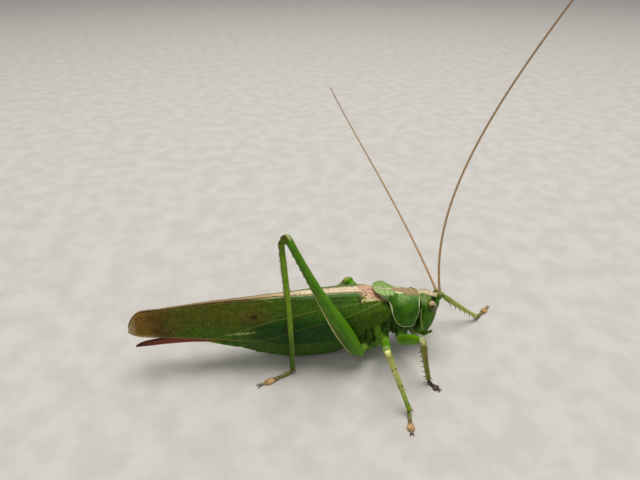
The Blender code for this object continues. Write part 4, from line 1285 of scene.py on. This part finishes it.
def make_femur(name, look, spine_look):
    """Thigh with its knee lobes; the hind one has two rows of slanted plates on its sides."""
    kind, coxa_end, knee, _, _, run, _, across, away = leg_frame(name)
    hind = kind == "hind"
    rows, sides = (300, 96) if hind else (140, 48)
    share = np.linspace(0, 1, rows)
    start = coxa_end + run * (0.55 if hind else 0.3)
    end = knee - away * KNEE_OFFSET[kind] + run * KNEE_REACH[kind]
    path = start + (end - start) * column(share) - away * column(FEMUR_BOW[kind] * np.sin(math.pi * share))
    profile = read_rows(FEMUR_PROFILE[kind], share) * STOUT.get(name, 1)
    ends = round_ends(share, 0.02, 0.03)
    tube = Tube(path, profile[:, 1] * ends, profile[:, 2] * ends, across, sides, 0.92)
    level, lateral = tube.level, abs(tube.lateral)           # level is 1 under, -1 on the back
    along = column(share) + 0 * level
    place = along * np.linalg.norm(end - start)
    middle = window(0.03, 0.1, 0.9, 0.97, along)
    swell = 0.015 * waves(place, level * 2, 0 * level, 1.2)
    if hind:
        field = window(-0.42, -0.3, 0.56, 0.66, level) * middle
        phase = place / CHEVRON_PITCH + 1.1 * abs(level - 0.14)
        chevron = hump((phase % 1 - 0.5) * CHEVRON_PITCH, 0, 0.16) * field
        swell += 0.035 * field - 0.055 * chevron + 0.05 * hump(level, 0.14, 0.05) * field
        swell += 0.06 * (hump(level, 0.74, 0.07) + hump(level, -0.5, 0.06)) * middle
    else:
        swell += 0.035 * (hump(level, 0.72, 0.1) + hump(level, -0.55, 0.12)) * middle
    points, faces = tube.swell(swell).build()
    lobes = []
    lobe_back, lobe_long, lobe_tall = (0.72, 0.6, 0.5) if hind else (0.05, 0.5, 0.42)
    for way in (-1, 1):
        centre = end + across * way * profile[-1, 2] * 0.82 + away * LOBE_DROP[kind] - run * lobe_back
        lobes.append((centre, run * lobe_long, away * lobe_tall, across * 0.16))
    if hind:
        lobes.append((end + away * 0.42 - run * 0.3, run * 0.38, away * 0.34, across * 0.42))
    points, faces, lobe_points = add_blobs(points, faces, lobes)
    tip = rise(0.955, 0.985, along)
    if hind:
        edge = rise(0.7, 0.82, level) * rise(0.1, 0.4, lateral) * rise(0.72, 0.45, along)
        rust = hump(level, 0.6, 0.07) * window(0.02, 0.1, 0.55, 0.8, along)
        # the dark chevrons, with painted shade on the underside from the middle to the knee
        chevrons_and_shade = 0.58 * chevron * rise(0.85, 0.45, along)
        chevrons_and_shade += 0.35 * rise(0.5, 0.8, along) * rise(-0.1, 0.4, level)
        marks = {
            # the pale cap at the knee's end is a painted highlight
            "pale": np.maximum(edge, 0.8 * tip * rise(0.5, 0.1, abs(level + 0.55))),
            "tan": np.maximum(0.85 * rust, 0.7 * tip * rise(-0.2, 0.2, level)),
            "grey": np.maximum(0.62 * rise(-0.3, -0.42, level),
                               field * (1 - chevron) * (0.35 + 0.6 * hump(level, 0.14, 0.1))),
            # dark: also painted shade on the underside near the hip
            "dark": np.clip(chevrons_and_shade + 0.28 * rise(0.45, 0.15, along) * rise(-0.1, 0.35, level), 0, 0.85),
        }
    else:
        freckle = rise(0.25, 0.6, waves(place * 1.3, level * 1.5, lateral, 0.5, 2.0))
        ring = hump(along, 0.935, 0.014) * rise(0.2, -0.3, abs(level) - 0.5)
        marks = {
            # the thigh's pale end: its colour with a painted highlight
            "pale": np.clip(TIP_PALE_AND_HIGHLIGHT[kind] * tip + 0.25 * rise(0.8, 0.95, level), 0, 1),
            "tan": 0.5 * freckle * rise(0.88, 0.95, along),
            "grey": 0.75 + 0.2 * rise(-0.3, -0.7, level),
            "dark": np.clip(0.75 * ring + 0.2 * tip, 0, 1),
        }
    left = name.endswith("left")
    lobe_pale = LOBE_PALE[kind] * (0.25 if left else 1.0)
    lobe_tone = {"pale": lobe_pale, "tan": 0.35, "dark": 0.25 if hind else 0.12, "grey": 0.0}
    marks = {key: np.concatenate([value.ravel(), np.full(lobe_points, lobe_tone[key])])
             for key, value in marks.items()}
    if hind:
        marks["tan"][-lobe_points // 3:] = 0.9
        marks["dark"][-lobe_points // 3:] = 0.55
    else:
        blotch = rise(0.0, 0.4, waves(*points[-lobe_points:].T, 0.3, 4.0))
        marks["tan"][-lobe_points:] = 0.15 + 0.65 * blotch
    if left:
        marks["pale"] *= 0.5
    make_piece("thigh_" + name, (points, faces), look, "leg_green", marks, "femur_" + name)
    if hind:
        thorns = []
        for s in np.linspace(0.52, 0.86, 8):
            i = int(s * rows)
            for lean in (-1, 1):
                side = tube.side[i] * lean * 0.3
                root = tube.path[i] + away * profile[i, 1] * 0.93 + side * profile[i, 2]
                thorns.append((root, unit(away + side + run * 0.5) * 0.26, 0.09, s, 0.5 + 0.2 * lean))
        make_spikes("thorns_" + name, thorns, 6, spine_look, "leg_green")


def add_blobs(points, faces, blobs):
    """Add small closed ovals, each given by its centre and three half axes."""
    rows, columns = 12, 16
    count = rows * columns
    points, faces = [points], list(faces)
    angle = column(np.linspace(0.08, math.pi - 0.08, rows))
    turn = math.tau * np.arange(columns) / columns
    for number, (centre, a, b, c) in enumerate(blobs):
        shape = (-np.cos(angle)[..., None] * a + (np.sin(angle) * np.cos(turn))[..., None] * b
                 + (np.sin(angle) * np.sin(turn))[..., None] * c) + centre
        block = closed_faces(rows, columns, len(points[0]) + number * count)
        faces += block if np.cross(b, c) @ a < 0 else [face[::-1] for face in block]
        points.append(shape.reshape(-1, 3))
    return np.concatenate(points), faces, count * len(blobs)


def make_tibia(name, look, spine_look):
    """Shin with its knob, furrows and joined spines."""
    kind, _, knee, ankle, _, _, down, across, away = leg_frame(name)
    rows, sides = 220, 32
    share = np.linspace(0, 1, rows)
    hind = kind == "hind"
    start, end = knee + down * (0.05 if hind else -0.1) - away * 0.12, ankle + down * 0.15
    bow = SHIN_BOW[kind] * (np.sin(math.pi * share) - 0.15)
    path = start + (end - start) * column(share) + np.cross(across, down) * column(bow)
    if hind:
        path = path - away * column(0.18 * rise(0.04, -0.01, share))
    profile = read_rows(TIBIA_PROFILE[kind], share) * STOUT_SHIN.get(name, 1)
    ends = round_ends(share, 0.02, 0.012)
    tube = Tube(path, profile[:, 1] * ends, profile[:, 2] * ends, across, sides, 0.9)
    level, lateral = tube.level, tube.lateral
    along = column(share) + 0 * level
    place = along * np.linalg.norm(end - start)
    ear = hump(along, 0.19, 0.045) * hump(level, 0.15, 0.35) * (kind == "fore")
    furrow = hump(level, 0.0, 0.22) * rise(0.05, 0.12, along)
    swell = 0.012 * waves(place, level * 2, lateral, 0.8) - 0.035 * furrow - 0.1 * ear
    net = tube.swell(swell).build()
    head, foot = rise(0.03, 0.006, along), rise(0.965, 0.995, along)
    freckle = rise(0.15, 0.6, waves(place, level * 1.5, lateral, 0.55, 1.0))
    # pale: the shin's colour with a painted highlight, set for each leg
    pale = column(np.interp(share, (0, 0.04, 0.09, 0.3, 1.0), SHIN_PALE_AND_HIGHLIGHT.get(name, SHIN_PALE_AND_HIGHLIGHT[kind])))
    brown = SHIN_BROWN.get(name, SHIN_BROWN[kind]) * (1 + freckle) * (along > 0.07)
    back = (0.6 if hind else 0.35) * rise(-0.45, -0.85, level) * rise(0.85, 0.45, along)
    marks = {
        "pale": np.clip(pale + 0.25 * rise(0.5, 0.9, level), 0, 1),
        "tan": np.clip(0.7 * foot + back + brown + 0.8 * head * hind, 0, 0.9),
        # dark: on the hind shin, painted shade just under the knee
        "dark": np.clip(0.5 * ear + 0.35 * foot + hind * (0.3 * head + 0.42 * rise(0.22, 0.04, along)),
                        0, 0.9),
        # grey: painted shade on the hind shin toward its foot
        "grey": 0.85 * hind * rise(0.58, 0.8, along),
    }
    make_piece("shin_" + name, net, look, "shin_olive", marks, "tibia_" + name)
    spikes = []
    for first, last, count, way, long in SPINES.get(name, SPINES[kind]):
        for k in range(count):
            s = first + (last - first) * (k + 0.5 * (rng.random() - 0.5) * 0.4) / (count - 1)
            i = int(np.clip(s * (rows - 1), 1, rows - 2))
            up, side = tube.up[i] * way, tube.side[i]
            for lean in (-1, 1):
                root = tube.path[i] + up * profile[i, 1] * 0.82 + side * lean * profile[i, 2] * 0.5
                size = long * (0.85 + 0.3 * rng.random())
                reach = unit(unit(up + side * lean * 0.62) * 0.8 + down * 0.6) * size
                spikes.append((root, reach, 0.1, s, 0.25 * lean + 0.5 * way))
    for lean in (-1, 1):
        for way in (-1, 1):
            side, up = tube.side[-1] * lean, tube.up[-1] * way
            root, reach = ankle + side * 0.28 + up * 0.25, unit(down + side * 0.5 + up * 0.3) * 0.6
            spikes.append((root, reach, 0.1, 1.0, 0.3 * lean + 0.1 * way))
    make_spikes("spines_" + name, spikes, 6, spine_look, "shin_olive")
    hairs = []
    for _ in range(HAIR_COUNT):
        i, j = rng.integers(4, rows - 4), rng.integers(0, sides)
        out = unit(tube.points[i, j] - tube.path[i])
        reach = unit(out * 0.55 + down) * (0.16 + 0.12 * rng.random())
        hairs.append((tube.points[i, j] - out * 0.03, reach, 0.011, i / rows, j / sides))
    make_spikes("hairs_" + name, hairs, 3, spine_look, "shin_olive")


def make_spikes(name, spikes, sides, look, slot):
    """Cones joined in one mesh: root, reach, radius, and the root's place on an unwrap of the limb."""
    rings = ((0.0, 1.0), (0.45, 0.72), (0.85, 0.32))
    tip = len(rings) * sides
    angle = math.tau * np.arange(sides) / sides
    points, faces, tone, places = [], [], [], []
    for root, reach, radius, u, v in spikes:
        first = len(points)
        along = unit(reach)
        a = unit(np.cross(along, (0.31, 0.52, 0.79)))
        b = np.cross(along, a)
        for share, size in rings:
            points += [root + reach * share + (a * math.cos(t) + b * math.sin(t)) * radius * size
                       for t in angle]
            tone += [share] * sides
        points.append(root + reach)
        tone.append(1.0)
        for k in range(sides):
            n = (k + 1) % sides
            for p in range(first, first + tip - sides, sides):
                faces.append([p + k, p + n, p + sides + n, p + sides + k])
            faces.append([first + tip - sides + k, first + tip - sides + n, first + tip])
        faces.append([first + k for k in reversed(range(sides))])
        places += [(u, v)] * (tip + 1)
    piece = make_piece(name, (points, faces), look, slot, {"reach": tone})
    layer = piece.data.uv_layers.new(name="OFBake")
    for loop in piece.data.loops:
        number = loop.vertex_index
        spread = zip(places[number], (tone[number], number % sides / sides))
        layer.data[loop.index].uv = [0.02 + 0.95 * (at % 1) + PATCH * part for at, part in spread]


def make_foot(name, look, horn):
    """Four-jointed foot: two short joints, a split pad, a slim last joint with two claws."""
    _, _, _, ankle, toe, *_ = leg_frame(name)
    base, way = ankle * (1, 1, 0), (toe - ankle) * (1, 1, 0)
    long = np.linalg.norm(way)
    way = way / long
    left = np.array((-way[1], way[0], 0))

    def field(a, b, c):
        wide = abs(b)
        body = rod(a, b, c, (-0.05, 0, 0.95), (0.1 * long, 0, 0.52), 0.24, 0.3)
        body = join(body, ellipsoid(a, b, c, (0.18 * long, 0, 0.4), (0.165 * long, 0.33, 0.34)), 0.1)
        body = join(body, ellipsoid(a, wide, c, (0.27 * long, 0.13, 0.25), (0.09 * long, 0.22, 0.25)), 0.08)
        second = ellipsoid(a, b, c, (0.42 * long, 0, 0.34), (0.11 * long, 0.31, 0.28))
        toes = ellipsoid(a, wide, c, (0.45 * long, 0.15, 0.22), (0.08 * long, 0.22, 0.22))
        second = join(second, toes, 0.08)
        pad = ellipsoid(a, wide, c, (0.64 * long, 0.3, 0.26), (0.15 * long, 0.32, 0.26))
        pad = join(pad, ellipsoid(a, b, c, (0.58 * long, 0, 0.34), (0.11 * long, 0.38, 0.3)), 0.1)
        last = rod(a, b, c, (0.6 * long, 0, 0.46), (0.9 * long, 0, 0.33), 0.14, 0.19)
        body = join(join(join(body, second, 0.05), pad, 0.05), last, 0.03)
        return -join(-body, c - 0.012, 0.04)

    def world(points):
        return base + points[:, :1] * way + points[:, 1:2] * left + points[:, 2:] * (0, 0, 1)

    points, quads = net_of(field, (-0.5, -0.8, -0.06), (long + 0.1, 0.8, 1.4), STEP["foot"])
    a, b, c = points.T
    share = a / long
    joints = np.maximum(hump(share, 0.335, 0.014), hump(share, 0.505, 0.014)) * rise(0.1, 0.35, c)
    blotches = 0.9 * rise(0.1, 0.35, waves(a, b, c, 0.55, 3.0)) * hump(share, 0.42, 0.09)
    marks = {
        "pad": window(0.515, 0.55, 0.76, 0.82, share),
        "joint": np.clip(np.maximum(joints, blotches) + 0.8 * hump(share, 0.93, 0.03)
                         + 0.7 * hump(share, 0.735, 0.02), 0, 1),
        "green": rise(0.34, 0.22, share),
        "red": FOOT_RED.get(name, 0.0),
    }
    make_piece("foot_" + name, (world(points), quads), look, "foot_tan", marks, "tarsus_" + name)
    points, faces = [], []
    for side in (-1, 1):
        posts = ((0.86 * long, side * 0.08, 0.34), (0.93 * long, side * 0.22, 0.36),
                 (0.98 * long, side * 0.3, 0.22), (0.985 * long, side * 0.31, 0.05))
        share = np.linspace(0, 1, 24)
        radius = np.interp(share, (0, 0.5, 1), (0.1, 0.075, 0.012))
        claw = Tube(world(on_curve(posts, 3 * share)), radius, radius, left + way * 0.01, 10)
        more_points, more_faces = claw.build(sum(len(p) for p in points))
        points.append(more_points)
        faces += more_faces
    make_piece("claws_" + name, (np.concatenate(points), faces), horn, "foot_tan", {})


def foot_look():
    look = Look("foot")
    look.colour = look.mix(look.cloud(0.5, 4.0, 0.35, 0.65), (0.22, 0.19, 0.045), (0.34, 0.26, 0.08))
    look.paint((0.13, 0.17, 0.02), look.mark("green"), 0.8)
    look.paint((0.56, 0.33, 0.12), look.mark("pad"))
    look.paint((0.042, 0.01, 0.005), look.mark("red"))
    look.paint((0.012, 0.008, 0.004), look.mark("joint"), 0.9)
    normal = look.bump(look.noise(0.3, 4.0), 0.5, 0.03, look.bump(look.cell(0.07), 0.6, 0.012))
    return look.done(0.42, normal, Specular_IOR_Level=0.5)


def horn_look(name, light, dark, low, high):
    """Hard brown horn that darkens along its reach."""
    look = Look(name)
    reach = look.plus(look.mark("reach"), look.cloud(0.6, 3.0, 0.3, 0.7, -0.06, 0.06))
    look.colour = look.mix(look.fit(reach, low, high), light, dark)
    return look.done(0.28, look.bump(look.noise(0.35, 4.0), 0.4, 0.02), Specular_IOR_Level=0.25)


# ---- tail ----

def row_tube(table, count, sides, power=1.0, thin=0.0, narrow=1.0):
    """A tube along X from rows of x, lower edge, upper edge and half width, with each ring's row."""
    row = read_rows(table, np.linspace(max(table)[0], min(table)[0], count))
    path = np.stack([row[:, 0], 0 * row[:, 0], (row[:, 1] + row[:, 2]) / 2], -1)
    tube = Tube(path, (row[:, 2] - row[:, 1]) / 2 - thin, row[:, 3] * narrow, (0, 1, 0), sides, power)
    return tube, tube.level, column(np.linspace(0, 1, count)) + 0 * tube.level, row


# height, place and half width of the ridges and seams along the blade
BLADE_SEAMS = ((-0.07, -0.05, 0.07), (0.03, 0.35, 0.1), (-0.03, -0.5, 0.08))


def make_blade(look):
    """Egg-laying blade: four long valves seen as an upper and a lower pair with a seam between."""
    tube, level, share, row = row_tube(BLADE_ROWS, 260, 48, 0.85)
    swell = sum(deep * hump(level, at, half) for deep, at, half in BLADE_SEAMS) * rise(1.0, 0.9, share)
    tube.swell(swell + 0.01 * waves(column(row[:, 0]), level * 2, 0 * level, 1.5))
    marks = {"reach": share * 0.9 + 0.35 * rise(0.72, 1.0, abs(level)) + 0.25 * hump(level, -0.05, 0.1)}
    make_piece("blade", tube.build(), look, "blade_brown", marks, "ovipositor")


PLATE_ROWS = ((-20.3, 5.15, 5.45, 0.15), (-19.4, 4.9, 5.45, 0.4), (-18.0, 4.5, 5.45, 0.7),
              (-16.5, 4.05, 5.5, 0.95), (-15.2, 3.6, 5.8, 1.15), (-13.6, 3.35, 6.2, 1.3))


def make_tail(look):
    """The keeled plate under the blade's root, and the two short tail feelers."""
    tube, level, share, row = row_tube(PLATE_ROWS, 90, 40)
    keel = hump(abs(level), 1.0, 0.05)
    tube.swell(0.05 * keel + 0.02 * waves(column(row[:, 0]), level * 3, 0 * level, 0.9))
    marks = {"pale": 0.5 * rise(0.5, 1.0, share) + 0.3 * abs(level) ** 3}
    make_piece("tail_plate", tube.build(), look, "body_green", marks, "subgenital_plate")
    share = np.linspace(0, 1, 60)
    radius = np.interp(share, (0, 0.3, 0.7, 1), (0.36, 0.33, 0.24, 0.05))
    along = np.repeat(share, 24)
    marks = {"pale": 0.5 * along, "tan": 0.4 * rise(0.7, 1, along)}
    for side, word in SIDES:
        path = on_curve(((-13.9, side * 1.35, 9.1), (-14.9, side * 1.35, 8.95), (-15.8, side * 1.2, 8.65),
                         (-16.3, side * 1.0, 8.45)), 3 * share)
        tube = Tube(path, radius, radius, (0, 1, 0), 24)
        make_piece("tail_feeler_" + word, tube.build(), look, "body_green", marks, "cercus_" + word)


def make_hindwings(look):
    """The folded hind wings: a thin fan of pleats between the fore wings."""
    tube, level, share, row = row_tube(HINDWING_ROWS, 220, 96, thin=0.05, narrow=0.8)
    pleats = np.cos(level * math.pi * 9)
    tube.swell(0.05 * pleats * np.minimum(1, column(row[:, 3]) / 0.4))
    marks = {"vein": rise(0.75, 0.95, pleats), "along": share}
    make_piece("hindwing_fan", tube.build(), look, "membrane_pale", marks, "hindwings")


def membrane_look():
    look = Look("membrane")
    look.colour = look.ramp(look.mark("along"), ((0.0, (0.34, 0.4, 0.14)), (0.6, (0.3, 0.3, 0.12)),
                                                 (1.0, (0.26, 0.2, 0.09))))
    look.paint((0.14, 0.13, 0.03), look.mark("vein"), 0.7)
    look.paint((0.16, 0.15, 0.04), look.fit(look.cell(0.5, "DISTANCE_TO_EDGE"), 0.06, 0.0), 0.4)
    return look.done(0.32, look.bump(look.noise(0.4, 4.0), 0.4, 0.02), Specular_IOR_Level=0.5)


def claw_look():
    look = Look("claw")
    look.colour = look.mix(look.cloud(0.2, 3.0, 0.35, 0.65), (0.2, 0.1, 0.035), (0.045, 0.02, 0.008))
    return look.done(0.25, look.bump(look.noise(0.1, 3.0), 0.3, 0.01))


# ---- the model, the floor, the light and the camera ----

def make_model():
    # trunk: grey is painted shade over the abdomen; dark carries painted shade in the clefts, on the side
    # plates and at the throat; pale carries painted light on the coxae
    trunk = cuticle("trunk", (0.028, 0.104, 0.001), (0.072, 0.192, 0.002), grain=0.1,
                    pale=(0.34, 0.56, 0.04), grey=(0.03, 0.088, 0.001), dark=(0.008, 0.014, 0.002))
    # shield: grey is the rear lobes' paler colour and the painted sheen on the shoulders
    shield = cuticle("shield", (0.02, 0.105, 0.001), (0.06, 0.17, 0.001), grain=0.13, grain_depth=0.02,
                     tan=(0.47, 0.325, 0.168), pale=(0.97, 0.98, 0.6), grey=(0.48, 0.66, 0.22))
    # head: grey is a painted sheen behind the eyes and over the top
    head = cuticle("head", (0.03, 0.11, 0.001), (0.065, 0.175, 0.001), grain=0.1, tan=(0.92, 0.68, 0.45),
                   pale=(0.5, 0.58, 0.16), grey=(0.25, 0.35, 0.1), dark=(0.004, 0.004, 0.002))
    mouth = cuticle("mouth", (0.04, 0.13, 0.001), (0.09, 0.21, 0.002), grain=0.09, tan=(0.3, 0.12, 0.03),
                    pale=(0.5, 0.52, 0.14))
    # thigh: pale is the knees' colour with a painted highlight; dark is the chevrons and painted shade on
    # the underside
    thigh = cuticle("thigh", (0.047, 0.19, 0.001), (0.09, 0.255, 0.001), grain=0.14, pale=(0.8, 0.76, 0.36),
                    tan=(0.17, 0.045, 0.006), grey=(0.125, 0.32, 0.002), dark=(0.008, 0.03, 0.001))
    # shin: pale is its colour with a painted highlight; grey is painted shade on the hind shins
    shin = cuticle("shin", (0.13, 0.28, 0.001), (0.2, 0.36, 0.001), grain=0.1, pale=(0.96, 0.9, 0.33),
                   tan=(0.17, 0.07, 0.006), grey=(0.034, 0.105, 0.001))
    scape = cuticle("scape", (0.045, 0.14, 0.001), (0.09, 0.22, 0.004), grain=0.08, tan=(0.78, 0.5, 0.24))
    spine = horn_look("spine", (0.14, 0.075, 0.012), (0.025, 0.008, 0.003), 0.0, 0.5)
    wing, thread, foot, claw = wing_look(), feeler_look(), foot_look(), claw_look()
    for side, word in SIDES:
        wing_sheet(side, word, wing)
        make_feeler(word, scape, thread)
    make_hindwings(membrane_look())
    make_trunk(trunk)
    make_pronotum(shield)
    make_head(head, eye_look(), mouth)
    for name in LEGS:
        make_femur(name, thigh, spine)
        make_tibia(name, shin, spine)
        make_foot(name, foot, claw)
    make_blade(horn_look("blade", (0.21, 0.034, 0.006), (0.02, 0.004, 0.002), 0.62, 1.12))
    make_tail(trunk)


def place_in_scene(name, data, location=(0, 0, 0)):
    made = bpy.data.objects.new(name, data)
    bpy.context.scene.collection.objects.link(made)
    made.location = location
    return made


def make_floor():
    """A wide plain floor, faintly mottled."""
    mesh = bpy.data.meshes.new("floor")
    half = 3.0
    corners = [(-half, -half, 0), (half, -half, 0), (half, half, 0), (-half, half, 0)]
    mesh.from_pydata(corners, [], [(0, 1, 2, 3)])
    look = Look("floor")
    look.colour = look.mix(look.cloud(6.0, 5.0, 0.35, 0.65), (0.615, 0.575, 0.515), (0.685, 0.645, 0.58))
    mesh.materials.append(look.done(0.85))
    place_in_scene("floor", mesh)


# name, place and size in metres, power in watts
LAMPS = (
    ("key", (0.05, 0.08, 0.76), 0.56, 4.4),
    ("fill", (-0.35, -0.55, 0.6), 0.6, 0.7),
)


def make_lights():
    """An even pale sky and one very broad soft lamp high over the insect."""
    world = bpy.data.worlds.new("sky")
    bpy.context.scene.world = world
    world.use_nodes = True
    sky = world.node_tree.nodes["Background"].inputs
    sky["Color"].default_value = (0.94, 0.97, 1.0, 1.0)
    sky["Strength"].default_value = 0.3
    for name, place, size, power in LAMPS:
        lamp = bpy.data.lights.new(name, "AREA")
        lamp.shape = "DISK"
        lamp.size = size
        lamp.energy = power
        made = place_in_scene(name, lamp, place)
        made.rotation_euler = (-Vector(place)).to_track_quat("-Z", "Y").to_euler()


# camera: turned from the insect's side view, pitch down, height and distance in millimetres
VIEW_TURN = math.radians(8)
VIEW_PITCH = math.radians(31)
VIEW_HEIGHT = 65.0
VIEW_DISTANCE = 67.3
VIEW_LENS = 27.11
VIEW_SENSOR = 36.0


def make_camera():
    c, s = math.cos(VIEW_TURN), math.sin(VIEW_TURN)
    place = np.array((-s * VIEW_DISTANCE, -c * VIEW_DISTANCE, VIEW_HEIGHT)) * MM + OFFSET
    forward = Vector((s * math.cos(VIEW_PITCH), c * math.cos(VIEW_PITCH), -math.sin(VIEW_PITCH)))
    right = Vector((c, -s, 0))
    turn = Matrix((right, right.cross(forward), -forward)).transposed().to_4x4()
    camera = bpy.data.cameras.new("camera")
    camera.sensor_width = VIEW_SENSOR
    camera.lens = VIEW_LENS
    camera.clip_start = 0.001
    made = place_in_scene("camera", camera)
    made.matrix_world = Matrix.Translation(Vector(place)) @ turn
    bpy.context.scene.camera = made


make_model()
make_floor()
make_lights()
make_camera()
bpy.context.scene.view_settings.view_transform = "Standard"
